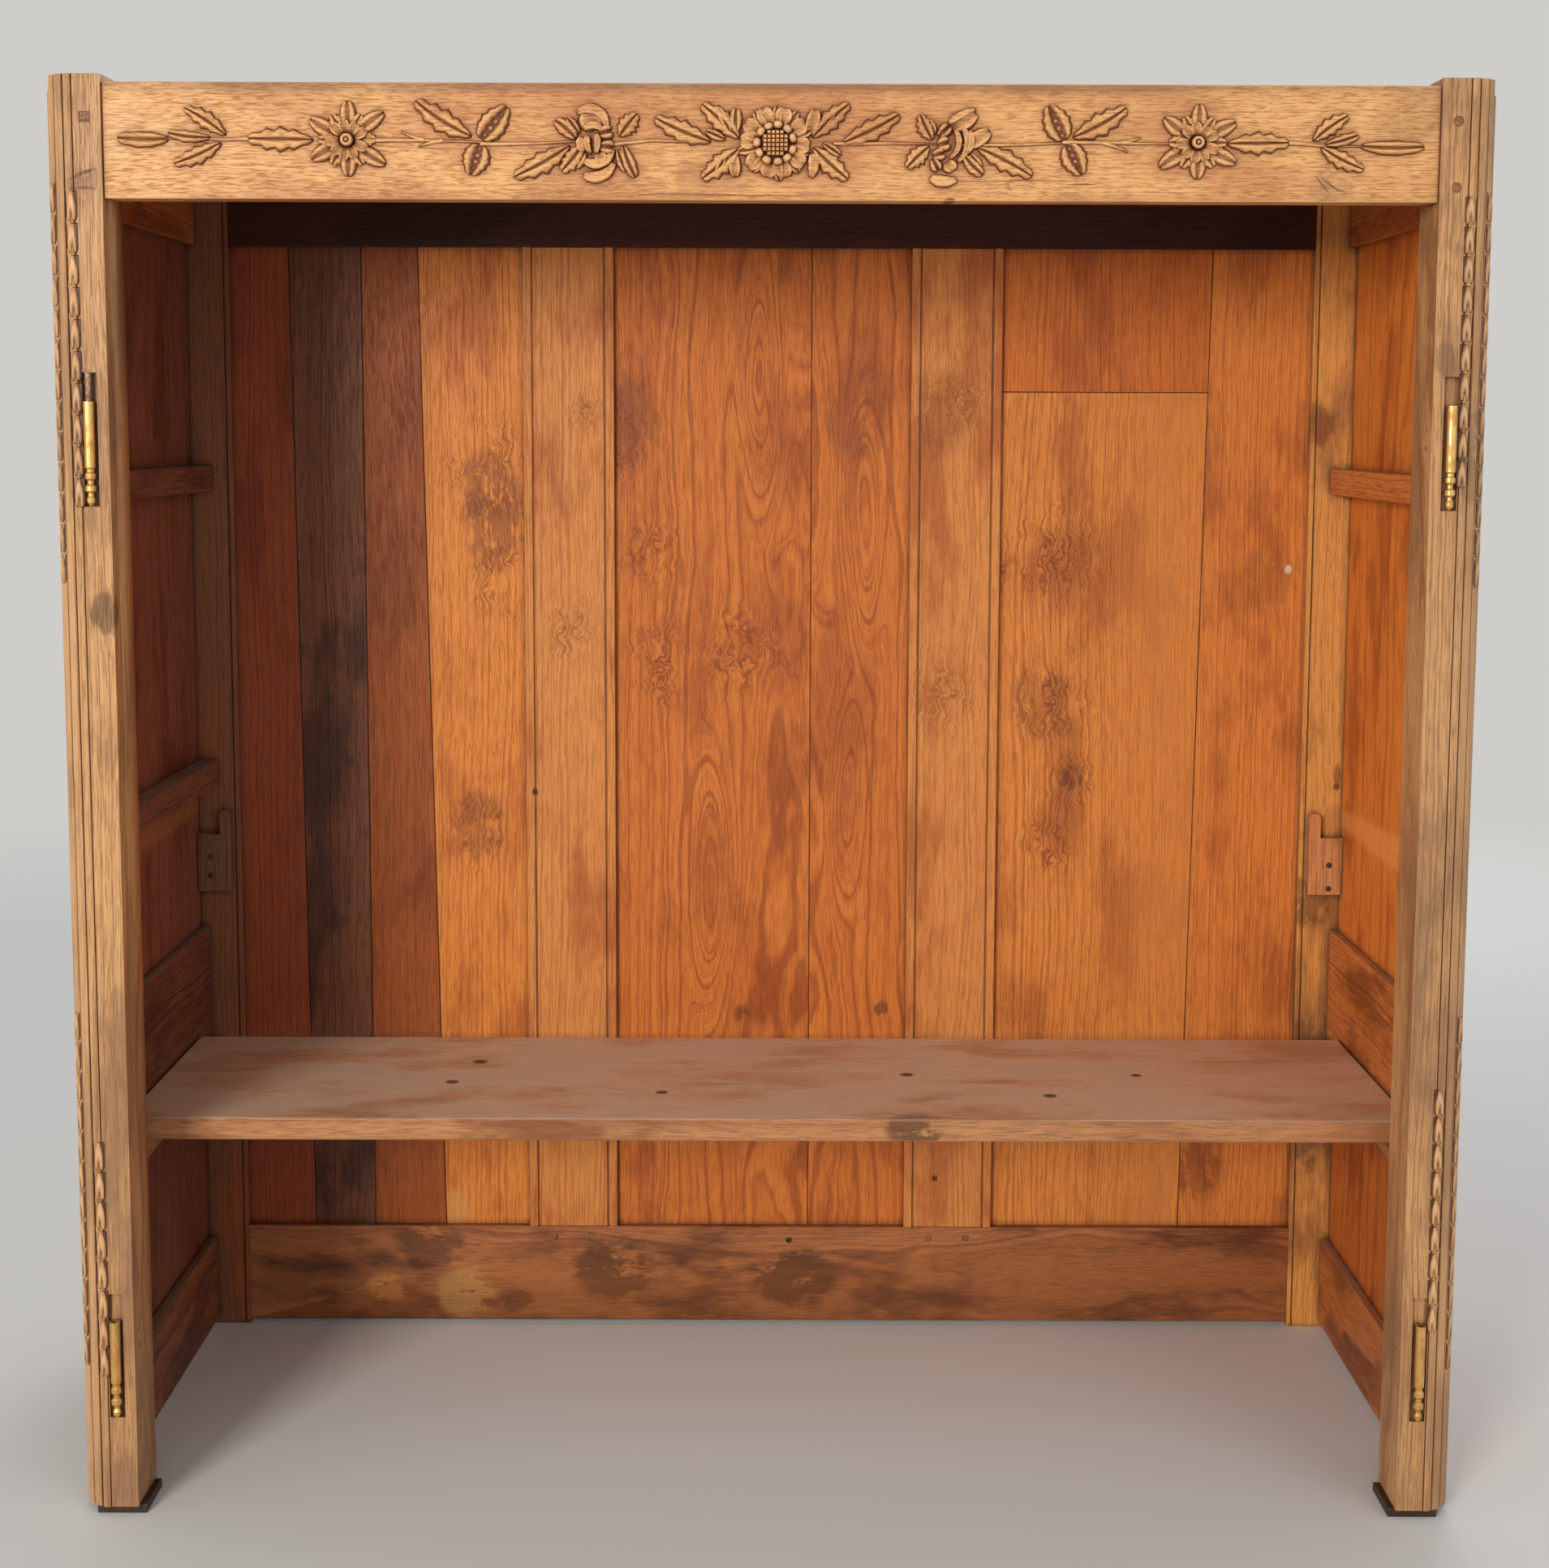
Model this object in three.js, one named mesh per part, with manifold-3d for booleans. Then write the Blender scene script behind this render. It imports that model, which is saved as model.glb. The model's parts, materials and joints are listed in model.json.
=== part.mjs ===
// The open carcase of an old oak cupboard: two moulded front posts and a carved top rail, framed sides,
// a framed and boarded back, a boarded top, one loose shelf on bearers, and the halves of four lift-off
// hinges that the doors have left behind on the posts.
//
// Millimetres. X runs to the right, Y to the back, Z up. In the functions Y counts from the front face
// of the posts and Z from the floor; the last lines move the case so that its middle is at zero.

import * as THREE from 'three';
import { mergeVertices } from 'three/addons/utils/BufferGeometryUtils.js';
import Module from 'manifold-3d';

const wasm = await Module();
wasm.setup();

// Overall sizes
const caseWidth = 1410;
const caseHeight = 1450;
const caseDepth = 454;

// Fits
const gap = 0.3;
const overrun = 2;
const shelfPlay = 1.5;

// Front posts, whose outer front corner is a moulded quarter round
const postWidth = 61;
const postDepth = 57;
const cornerRadius = 34;
const mouldGroove = 2.6;
const beadRise = 0.6;
const beadDrop = 15;
const beadDropWidth = 7;
const footTall = 10;
const footSide = 50;
const footInset = 6;

// Carved rail between the posts
const frontRailDrop = 7;
const frontRailTall = 111;
const frontRailThick = 26;
const frontRailSetback = 3;
const frontTenonThick = 9;
const frontTenonLong = 36;
const frontTenonShoulder = 9;

// Pegs of the carved rail
const pegDiameter = 9.5;
const pegLong = 40;
const pegSink = 0.5;
const pegFromShoulder = 16;
const upperPegDrop = 34;
const lowerPegRise = 14;

// Boards of the top
const topBoardSink = 2;
const topBoardThick = 16;

// Frame of the back
const stileWidth = 60;
const backThick = 24;
const backTopRailTall = 99;
const backBottomRailLow = 6;
const backBottomRailTall = 120;
const backTenonThick = 9;
const backTenonLong = 38;
const backTenonShoulder = 14;
const muntinWidth = 108;
const muntinTenonLong = 30;
const muntinTenonShoulder = 14;
const leftMuntinCentre = -242;
const rightMuntinCentre = 221;
const backPegDiameter = 8;
const backPegDrop = 13.5;
const backPegSpread = 23;
const quirkWidth = 2;
const quirkDeep = 2.2;
const stileQuirkInset = 6;
const muntinQuirkInset = 11;
const knotHoleDiameter = 8;
const knotHoleX = 25;
const knotHoleDrop = 17;

// Boards of the back, with their joints as shares of the bay, at the top and at the foot
const boardThick = 8;
const boardSetback = 8;
const boardTongue = 7;
const grooveDeep = 9;
const buttJointDrop = 169;
const leftJointShares = [[0.2, 0.235], [0.447, 0.447], [0.64, 0.7]];
const centreJointShares = [[0.665, 0.665]];
const rightJointShares = [[0.676, 0.63]];

// Frames of the sides
const sideInset = 1;
const sideRailThick = 20;
const sideTopRailTall = 97;
const middleRailLow = 346;
const middleRailTall = 158;
const bottomRailLow = 8;
const bottomRailTall = 105;
const sideTenonThick = 8;
const sideTenonLong = 26;
const sideRearTenonLong = 16;
const sideTenonShoulder = 12;
const panelSetback = 10.5;
const panelThick = 8;
const panelTongueThick = 5;

// Bearers and notched cleats
const shelfBearerThick = 20;
const shelfBearerTall = 26;
const bearerThick = 25;
const bearerTall = 30;
const upperBearerDrop = 266;
const middleBearerTop = 710;
const cleatWidth = 40;
const cleatTall = 100;
const cleatThick = 12;
const cleatLow = 550;
const cleatSeatRise = 70;
const cleatTongue = 13;
const cleatArcSteps = 6;

// Shelf
const shelfTop = 384;
const shelfThick = 24;
const shelfFront = 100;
const shelfShort = 55;

// Hinge halves
const hingeInset = 19;
const knuckleDiameter = 10.8;
const knuckleProud = 5.9;
const knuckleTall = 64;
const finialTall = 38;
const upperHingeDrop = 195;
const lowerHingeTop = 208;
const pinDiameter = 6;
const pinBoreDeep = 40;
const pinShown = 28;
const leafThick = 2;
const leafDeep = 30;
const leafTall = 50;
const recessWidth = 16;
const hingeNailDiameter = 2.6;
const hingeNailHead = 5;
const hingeNailHeadThick = 1;
const hingeNailLong = 30;
const hingeNailDepth = 16;
const hingeNailPitch = 18;
const upperNailDrop = 24;
const lowerNailDrop = 14;
const facets = 20;

// Places that follow from the sizes above
const postOuter = caseWidth / 2;
const postInner = postOuter - postWidth;
const frontRailTop = caseHeight - frontRailDrop;
const frontRailLow = frontRailTop - frontRailTall;
const frontRailBack = frontRailSetback + frontRailThick;
const frameTop = frontRailTop - topBoardSink - topBoardThick - gap;
const stileInner = postOuter - stileWidth;
const backFront = caseDepth - backThick;
const boardFront = backFront + boardSetback;
const backBottomRailTop = backBottomRailLow + backBottomRailTall;
const backTopRailLow = frameTop - backTopRailTall;
const sideOuter = postOuter - sideInset;
const sideInner = sideOuter - sideRailThick;
const panelInner = sideInner + panelSetback;
const shelfLow = shelfTop - shelfThick;
const shelfBack = backFront - shelfShort;
const upperBearerTop = frontRailLow - upperBearerDrop;
const upperHingeTop = frontRailLow - upperHingeDrop;
const buttJointHeight = backTopRailLow - buttJointDrop;
const hingeX = postInner + hingeInset;
const knuckleY = knuckleDiameter / 2 - knuckleProud;
const sides = [{ word: 'left', sign: -1 }, { word: 'right', sign: 1 }];

// Finishes
function finish(color, roughness, metalness = 0) {
  return { color, roughness, metalness };
}

const honeyOak = finish(0xc9955c, 0.7);
const cherryBoard = finish(0xa0521f, 0.55);
const darkOak = finish(0x6b3a24, 0.65);
const palePine = finish(0xa27858, 0.75);
const pegOak = finish(0x7f5230, 0.7);
const footOak = finish(0x2c211b, 0.85);
const brass = finish(0xb89a3e, 0.35, 0.9);
const iron = finish(0x3a332e, 0.6, 0.8);

// Turns a closed geometry into a solid that can be joined and cut
function solidOf(geometry) {
  geometry.deleteAttribute('normal');
  geometry.deleteAttribute('uv');
  const merged = mergeVertices(geometry);
  const vertProperties = new Float32Array(merged.attributes.position.array);
  const triVerts = new Uint32Array(merged.index.array);
  return new wasm.Manifold(new wasm.Mesh({ numProp: 3, vertProperties, triVerts }));
}

// A box between two places on each axis, given in either order
function block([xa, xb], [ya, yb], [za, zb]) {
  const box = new THREE.BoxGeometry(Math.abs(xb - xa), Math.abs(yb - ya), Math.abs(zb - za));
  box.translate((xa + xb) / 2, (ya + yb) / 2, (za + zb) / 2);
  return solidOf(box);
}

// The same box grown by the fit all round, to cut the seat that it goes in
function seat(...spans) {
  return block(...spans.map(([a, b]) => [Math.min(a, b) - gap, Math.max(a, b) + gap]));
}

// A round bar from a point along the named axis
function bar(axis, diameter, [x, y, z], length) {
  const rod = new THREE.CylinderGeometry(diameter / 2, diameter / 2, length, facets);
  rod.translate(0, length / 2, 0);
  if (axis === 'x') rod.rotateZ(-Math.PI / 2);
  if (axis === 'z') rod.rotateX(Math.PI / 2);
  rod.translate(x, y, z);
  return solidOf(rod);
}

function joined(solids) {
  return solids.reduce((whole, next) => whole.add(next));
}

function cut(solid, cutters) {
  return cutters.reduce((rest, cutter) => rest.subtract(cutter), solid);
}

// Two distances from the middle of the case, on the side of the given sign
function onSide(sign, a, b) {
  return [sign * a, sign * b];
}

const cupboard = new THREE.Group();

// Adds a solid as a named piece, which stands on the middle of its own foot
function addPiece(name, solid, look) {
  const { vertProperties, triVerts } = solid.getMesh();
  const geometry = new THREE.BufferGeometry();
  geometry.setAttribute('position', new THREE.BufferAttribute(new Float32Array(vertProperties), 3));
  geometry.setIndex(new THREE.BufferAttribute(new Uint32Array(triVerts), 1));
  geometry.computeBoundingBox();
  const { min, max } = geometry.boundingBox;
  const foot = new THREE.Vector3((min.x + max.x) / 2, (min.y + max.y) / 2, min.z);
  geometry.translate(-foot.x, -foot.y, -foot.z);
  const piece = new THREE.Mesh(geometry, new THREE.MeshStandardMaterial(look));
  piece.name = name;
  piece.position.copy(foot);
  cupboard.add(piece);
}

// Plan of a post: a flat face, then round the outer corner a bead, a plain band and an outer bead.
// The stretches are shares of the quarter turn.
const flatWidth = postWidth - cornerRadius;
const beadShares = [0.03, 0.18];
const bandShares = [0.21, 0.4];
const outerBeadShares = [0.43, 0.76];
const lastFlatShare = 0.85;
const stretchSteps = 6;

function cornerPoint(share, rise) {
  const turn = share * Math.PI / 2;
  const radius = cornerRadius + rise;
  return [flatWidth + radius * Math.sin(turn), cornerRadius - radius * Math.cos(turn)];
}

// One stretch of the corner between two grooves, swelling to its rise in the middle
function stretch([start, end], rise) {
  const swell = Array.from({ length: stretchSteps + 1 }, (_, step) => {
    const part = step / stretchSteps;
    return cornerPoint(start + (end - start) * part, rise * Math.sin(Math.PI * part));
  });
  return [cornerPoint(start, -mouldGroove), ...swell, cornerPoint(end, -mouldGroove)];
}

function postPlan(sign) {
  const outline = [
    [0, 0],
    cornerPoint(0, 0),
    ...stretch(beadShares, beadRise),
    ...stretch(bandShares, 0),
    ...stretch(outerBeadShares, beadRise),
    cornerPoint(lastFlatShare, 0),
    cornerPoint(1, 0),
    [postWidth, postDepth],
    [0, postDepth],
  ];
  return new THREE.Shape(outline.map(([u, v]) => new THREE.Vector2(sign * (postInner + u), v)));
}

function upright(plan, low, top) {
  const geometry = new THREE.ExtrudeGeometry(plan, { depth: top - low, bevelEnabled: false });
  geometry.translate(0, 0, low);
  return solidOf(geometry);
}

// Tenons of the carved rail, one in each post
function frontTenon(sign) {
  const middle = frontRailSetback + frontRailThick / 2;
  return [
    onSide(sign, postInner - overrun, postInner + frontTenonLong),
    [middle - frontTenonThick / 2, middle + frontTenonThick / 2],
    [frontRailLow + frontTenonShoulder, frontRailTop - frontTenonShoulder],
  ];
}

// Pegs of the carved rail: a square one on the left, two round ones on the right
const pegX = postInner + pegFromShoulder;
const upperPegZ = frontRailTop - upperPegDrop;
const lowerPegZ = frontRailLow + lowerPegRise;

function frontPegs(width, start, end) {
  const half = width / 2;
  return [
    block([-pegX - half, half - pegX], [start, end], [upperPegZ - half, upperPegZ + half]),
    bar('y', width, [pegX, start, upperPegZ], end - start),
    bar('y', width, [pegX, start, lowerPegZ], end - start),
  ];
}

function frontPegHoles() {
  return frontPegs(pegDiameter + 2 * gap, -overrun, pegLong + gap);
}

// Rails of the sides, from the top down, and the panel bays between them
const sideRails = [
  { name: 'side_top_rail', low: frameTop - sideTopRailTall, top: frameTop },
  { name: 'side_middle_rail', low: middleRailLow, top: middleRailLow + middleRailTall },
  { name: 'side_bottom_rail', low: bottomRailLow, top: bottomRailLow + bottomRailTall },
];
const panelBays = [
  { name: 'side_panel_upper', low: sideRails[1].top, top: sideRails[0].low },
  { name: 'side_panel_lower', low: sideRails[2].top, top: sideRails[1].low },
];
const railMiddle = (sideInner + sideOuter) / 2;
const sideSpan = [postDepth + gap, backFront - gap];

function sideTenon(sign, { low, top }, depths) {
  const xs = onSide(sign, railMiddle - sideTenonThick / 2, railMiddle + sideTenonThick / 2);
  return [xs, depths, [low + sideTenonShoulder, top - sideTenonShoulder]];
}

const frontTenonDepths = [postDepth - sideTenonLong, postDepth + overrun];
const rearTenonDepths = [backFront - overrun, backFront + sideRearTenonLong];

// The tongue of a side panel, which runs in grooves all round
function panelTongue(sign, { low, top }) {
  return [
    onSide(sign, panelInner, panelInner + panelTongueThick),
    [postDepth - boardTongue, backFront + boardTongue],
    [low - boardTongue, top + boardTongue],
  ];
}

// Hinge halves, upper and lower
const hinges = [
  { word: 'upper', top: upperHingeTop, nailDrop: upperNailDrop },
  { word: 'lower', top: lowerHingeTop, nailDrop: lowerNailDrop },
];

function hingeLeaf(sign, { top }) {
  const middle = top - knuckleTall / 2;
  return [
    onSide(sign, hingeX - leafThick / 2, hingeX + leafThick / 2),
    [knuckleY, knuckleY + leafDeep],
    [middle - leafTall / 2, middle + leafTall / 2],
  ];
}

// The recess that holds a knuckle in the face of the post
function hingeRecess(sign, { top }) {
  return block(
    onSide(sign, hingeX - recessWidth / 2, hingeX + recessWidth / 2),
    [-overrun, knuckleY + knuckleDiameter / 2 + gap],
    [top - knuckleTall - finialTall - gap, top + pinShown],
  );
}

// A nail driven outwards from the reveal of a post through the leaf of a hinge
function hingeNail(sign, z, grow) {
  const width = 2 * grow;
  const start = [sign * postInner, hingeNailDepth, z];
  const shank = bar('x', hingeNailDiameter + width, start, hingeNailLong + grow);
  const head = bar('x', hingeNailHead + width, start, hingeNailHeadThick + grow);
  return sign > 0 ? shank.add(head) : turned(shank.add(head), start);
}

// Half a turn about an upright axis through a point
function turned(solid, [x, y]) {
  return solid.translate([-x, -y, 0]).rotate([0, 0, 180]).translate([x, y, 0]);
}

function nailHeights({ top, nailDrop }) {
  return [top - nailDrop, top - nailDrop - hingeNailPitch];
}

function hingeNailHoles(sign) {
  return hinges.flatMap((hinge) => nailHeights(hinge).map((z) => hingeNail(sign, z, gap)));
}

function frontPost({ word, sign }) {
  const cutters = [
    seat(...frontTenon(sign)),
    ...frontPegHoles(),
    ...sideRails.map((rail) => seat(...sideTenon(sign, rail, frontTenonDepths))),
    ...panelBays.map((bay) => seat(...panelTongue(sign, bay))),
    ...hinges.map((hinge) => hingeRecess(sign, hinge)),
    ...hinges.map((hinge) => seat(...hingeLeaf(sign, hinge))),
    ...hingeNailHoles(sign),
    block(
      onSide(sign, postOuter - beadDropWidth, postOuter + overrun),
      [-overrun, postDepth + overrun],
      [caseHeight - beadDrop, caseHeight + overrun],
    ),
  ];
  addPiece(`front_post_${word}`, cut(upright(postPlan(sign), footTall, caseHeight), cutters), honeyOak);
}

function frontFoot({ word, sign }) {
  const inner = postInner - footInset;
  const xs = onSide(sign, inner, inner + footSide);
  const foot = block(xs, [footInset, footInset + footSide], [0, footTall - gap]);
  addPiece(`front_foot_${word}`, foot, footOak);
}

function frontTopRail() {
  const reach = postInner - gap;
  const body = block([-reach, reach], [frontRailSetback, frontRailBack], [frontRailLow, frontRailTop]);
  const tenons = sides.map(({ sign }) => block(...frontTenon(sign)));
  addPiece('front_top_rail', cut(joined([body, ...tenons]), frontPegHoles()), honeyOak);
}

function sideRail({ word, sign }, rail) {
  const body = block(onSide(sign, sideInner, sideOuter), sideSpan, [rail.low, rail.top]);
  const tenons = [frontTenonDepths, rearTenonDepths].map((depths) => block(...sideTenon(sign, rail, depths)));
  const grooves = panelBays.map((bay) => seat(...panelTongue(sign, bay)));
  addPiece(`${rail.name}_${word}`, cut(joined([body, ...tenons]), grooves), darkOak);
}

function sidePanel({ word, sign }, bay) {
  const xs = onSide(sign, panelInner, panelInner + panelThick);
  const field = block(xs, sideSpan, [bay.low + gap, bay.top - gap]);
  addPiece(`${bay.name}_${word}`, field.add(block(...panelTongue(sign, bay))), cherryBoard);
}

// Rails and muntins of the back, all tenoned on one line through the thickness
const backRails = [
  { name: 'back_top_rail', low: backTopRailLow, top: frameTop },
  { name: 'back_bottom_rail', low: backBottomRailLow, top: backBottomRailTop },
];
const muntins = [
  { word: 'left', centre: leftMuntinCentre },
  { word: 'right', centre: rightMuntinCentre },
];
const backMiddle = (backFront + caseDepth) / 2;
const backTenonDepths = [backMiddle - backTenonThick / 2, backMiddle + backTenonThick / 2];

function backTenon(sign, { low, top }) {
  const xs = onSide(sign, stileInner - overrun, stileInner + backTenonLong);
  return [xs, backTenonDepths, [low + backTenonShoulder, top - backTenonShoulder]];
}

function muntinTenons({ centre }) {
  const half = muntinWidth / 2 - muntinTenonShoulder;
  const xs = [centre - half, centre + half];
  return [
    [xs, backTenonDepths, [backBottomRailTop - muntinTenonLong, backBottomRailTop + overrun]],
    [xs, backTenonDepths, [backTopRailLow - overrun, backTopRailLow + muntinTenonLong]],
  ];
}

// The groove that the back boards stand in, cut in the stretch between two places across the case
function boardGroove(xs) {
  const depths = [boardFront - gap, boardFront + boardThick + gap];
  return block(xs, depths, [backBottomRailTop - grooveDeep, backTopRailLow + grooveDeep]);
}

// A fine groove down the face of the back frame that leaves a bead along an upright's edge
function quirk(x) {
  const xs = [x - quirkWidth / 2, x + quirkWidth / 2];
  return block(xs, [backFront - overrun, backFront + quirkDeep], [-overrun, frameTop + overrun]);
}

// Two pegs through the foot tenon of each muntin
function backPegs(diameter, start, end) {
  const z = backBottomRailTop - backPegDrop;
  return muntins.flatMap(({ centre }) => [-backPegSpread, backPegSpread].map((offset) => (
    bar('y', diameter, [centre + offset, start, z], end - start)
  )));
}

function backPegHoles() {
  return backPegs(backPegDiameter + 2 * gap, backFront - overrun, caseDepth + overrun);
}

function rearStile({ word, sign }) {
  const body = block(onSide(sign, stileInner, sideOuter), [backFront, caseDepth], [0, frameTop]);
  const cutters = [
    ...sideRails.map((rail) => seat(...sideTenon(sign, rail, rearTenonDepths))),
    ...panelBays.map((bay) => seat(...panelTongue(sign, bay))),
    ...backRails.map((rail) => seat(...backTenon(sign, rail))),
    boardGroove(onSide(sign, stileInner - overrun, stileInner + grooveDeep)),
    quirk(sign * (stileInner + stileQuirkInset)),
  ];
  addPiece(`rear_stile_${word}`, cut(body, cutters), cherryBoard);
}

function backRail(rail) {
  const reach = stileInner - gap;
  const body = block([-reach, reach], [backFront, caseDepth], [rail.low, rail.top]);
  const tenons = sides.map(({ sign }) => block(...backTenon(sign, rail)));
  const knotHole = [knotHoleX, backFront - overrun, backBottomRailTop - knotHoleDrop];
  const cutters = [
    boardGroove([-stileInner, stileInner]),
    ...muntins.flatMap(muntinTenons).map((span) => seat(...span)),
    ...backPegHoles(),
    bar('y', knotHoleDiameter, knotHole, backThick + 2 * overrun),
  ];
  addPiece(rail.name, cut(joined([body, ...tenons]), cutters), cherryBoard);
}

function backMuntin(muntin) {
  const [left, right] = [muntin.centre - muntinWidth / 2, muntin.centre + muntinWidth / 2];
  const body = block([left, right], [backFront, caseDepth], [backBottomRailTop + gap, backTopRailLow - gap]);
  const grooves = [
    boardGroove([left - overrun, left + grooveDeep]),
    boardGroove([right - grooveDeep, right + overrun]),
    quirk(left + muntinQuirkInset),
    quirk(right - muntinQuirkInset),
  ];
  const tenons = muntinTenons(muntin).map((span) => block(...span));
  const whole = joined([cut(body, grooves), ...tenons]);
  addPiece(`back_muntin_${muntin.word}`, cut(whole, backPegHoles()), cherryBoard);
}

// Bays of the back between stiles and muntins, each filled by upright boards
const backBays = [
  { word: 'left', from: -stileInner, to: leftMuntinCentre - muntinWidth / 2, shares: leftJointShares },
  {
    word: 'centre',
    from: leftMuntinCentre + muntinWidth / 2,
    to: rightMuntinCentre - muntinWidth / 2,
    shares: centreJointShares,
  },
  { word: 'right', from: rightMuntinCentre + muntinWidth / 2, to: stileInner, shares: rightJointShares },
];

// Edges of the boards of a bay, at the top and at the foot, with the outer ones in the grooves
function boardEdges({ from, to, shares }) {
  const joints = shares.map((pair) => pair.map((share) => from + (to - from) * share));
  return [[from - boardTongue, from - boardTongue], ...joints, [to + boardTongue, to + boardTongue]];
}

function backBoard([leftTop, leftFoot], [rightTop, rightFoot]) {
  const low = backBottomRailTop - boardTongue;
  const top = backTopRailLow + boardTongue;
  const half = gap / 2;
  const face = new THREE.Shape([
    new THREE.Vector2(leftFoot + half, low),
    new THREE.Vector2(rightFoot - half, low),
    new THREE.Vector2(rightTop - half, top),
    new THREE.Vector2(leftTop + half, top),
  ]);
  const slab = new THREE.ExtrudeGeometry(face, { depth: boardThick, bevelEnabled: false });
  slab.rotateX(Math.PI / 2);
  slab.translate(0, boardFront + boardThick, 0);
  return solidOf(slab);
}

// The first board on the right is in two lengths, butted together
function addButtedBoard(name, board) {
  const wide = [-caseWidth, caseWidth];
  const deep = [0, caseDepth];
  const above = block(wide, deep, [buttJointHeight - gap / 2, caseHeight]);
  const below = block(wide, deep, [0, buttJointHeight + gap / 2]);
  addPiece(`${name}_lower`, board.subtract(above), cherryBoard);
  addPiece(`${name}_upper`, board.subtract(below), cherryBoard);
}

function backBoards(bay) {
  const edges = boardEdges(bay);
  for (let index = 1; index < edges.length; index += 1) {
    const name = `back_board_${bay.word}_${index}`;
    const board = backBoard(edges[index - 1], edges[index]);
    if (bay.word === 'right' && index === 1) addButtedBoard(name, board);
    else addPiece(name, board, cherryBoard);
  }
}

// Two wide boards over the frames, the front one notched round the posts
function topBoards() {
  const start = frontRailBack + gap;
  const middle = (start + caseDepth) / 2;
  const heights = [frameTop + gap, frameTop + gap + topBoardThick];
  const notches = sides.map(({ sign }) => (
    block(onSide(sign, postInner - gap, caseWidth), [0, postDepth + gap], [0, caseHeight])
  ));
  const front = block([-sideOuter, sideOuter], [start, middle - gap / 2], heights);
  const rear = block([-sideOuter, sideOuter], [middle + gap / 2, caseDepth], heights);
  addPiece('top_board_front', cut(front, notches), cherryBoard);
  addPiece('top_board_rear', rear, cherryBoard);
}

// A bearer along the inner face of a side, from the post to the rear stile
function bearer(name, sign, face, thick, [low, top], look) {
  const xs = onSide(sign, face - gap - thick, face - gap);
  addPiece(name, block(xs, sideSpan, [low, top]), look);
}

function bearers({ word, sign }) {
  const shelfBearerTop = shelfLow - gap;
  const upper = [upperBearerTop - bearerTall, upperBearerTop];
  bearer(`bearer_upper_${word}`, sign, panelInner, bearerThick, upper, cherryBoard);
  const lower = [shelfBearerTop - shelfBearerTall, shelfBearerTop];
  bearer(`shelf_bearer_${word}`, sign, sideInner, shelfBearerThick, lower, cherryBoard);
}

// A cleat on a rear stile: a seat for a bearer, with a round-topped tongue beside it
function notchedCleat({ word, sign }) {
  const outer = panelInner - gap;
  const inner = outer - cleatWidth;
  const radius = cleatTongue / 2;
  const shoulder = cleatLow + cleatTall - radius;
  const seatTop = cleatLow + cleatSeatRise;
  const arc = Array.from({ length: cleatArcSteps + 1 }, (_, step) => {
    const turn = Math.PI * step / cleatArcSteps;
    return [inner + radius + radius * Math.cos(turn), shoulder + radius * Math.sin(turn)];
  });
  const outline = [
    [inner, cleatLow],
    [outer, cleatLow],
    [outer, seatTop],
    [inner + cleatTongue, seatTop],
    ...arc,
  ];
  const face = new THREE.Shape(outline.map(([x, z]) => new THREE.Vector2(sign * x, z)));
  const plate = new THREE.ExtrudeGeometry(face, { depth: cleatThick, bevelEnabled: false });
  plate.rotateX(Math.PI / 2);
  plate.translate(0, backFront - gap, 0);
  addPiece(`notched_cleat_${word}`, solidOf(plate), cherryBoard);
}

function shelf() {
  const reach = sideInner - shelfPlay;
  const plank = block([-reach, reach], [shelfFront, shelfBack], [shelfLow, shelfTop]);
  addPiece('shelf', plank, palePine);
}

// Outline of the finial under a knuckle, as shares of the knuckle's radius and of the finial's height
const finialShares = [
  [0, 0], [0.34, 0.03], [0.74, 0.1], [0.8, 0.2], [0.56, 0.27], [0.56, 0.34], [1, 0.4], [1, 0.52],
  [0.62, 0.58], [0.62, 0.66], [1, 0.72], [1, 0.84], [0.76, 0.88], [0.76, 0.95], [1, 1],
];

function knuckle(sign, { top }) {
  const radius = knuckleDiameter / 2;
  const low = top - knuckleTall - finialTall;
  const rings = finialShares.map(([wide, high]) => [wide * radius, low + high * finialTall]);
  const outline = [...rings, [radius, top], [0, top]];
  const profile = new THREE.LatheGeometry(outline.map(([r, z]) => new THREE.Vector2(r, z)), facets);
  profile.rotateX(Math.PI / 2);
  profile.translate(sign * hingeX, knuckleY, 0);
  return solidOf(profile);
}

function hingeHalf({ word, sign }, hinge) {
  const boreFoot = [sign * hingeX, knuckleY, hinge.top - pinBoreDeep];
  const bore = bar('z', pinDiameter + 2 * gap, boreFoot, pinBoreDeep + overrun);
  const nails = nailHeights(hinge).map((z) => hingeNail(sign, z, gap));
  const half = knuckle(sign, hinge).add(block(...hingeLeaf(sign, hinge)));
  addPiece(`hinge_${hinge.word}_${word}`, cut(half, [bore, ...nails]), brass);
}

for (const side of sides) {
  frontPost(side);
  frontFoot(side);
}
frontTopRail();
for (const side of sides) {
  rearStile(side);
  sideRails.forEach((rail) => sideRail(side, rail));
  panelBays.forEach((bay) => sidePanel(side, bay));
}
backRails.forEach(backRail);
muntins.forEach(backMuntin);
backBays.forEach(backBoards);
topBoards();
sides.forEach(bearers);
const middleBearer = [middleBearerTop - bearerTall, middleBearerTop];
bearer('bearer_middle_left', -1, panelInner, bearerThick, middleBearer, palePine);
sides.forEach(notchedCleat);
shelf();

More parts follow.
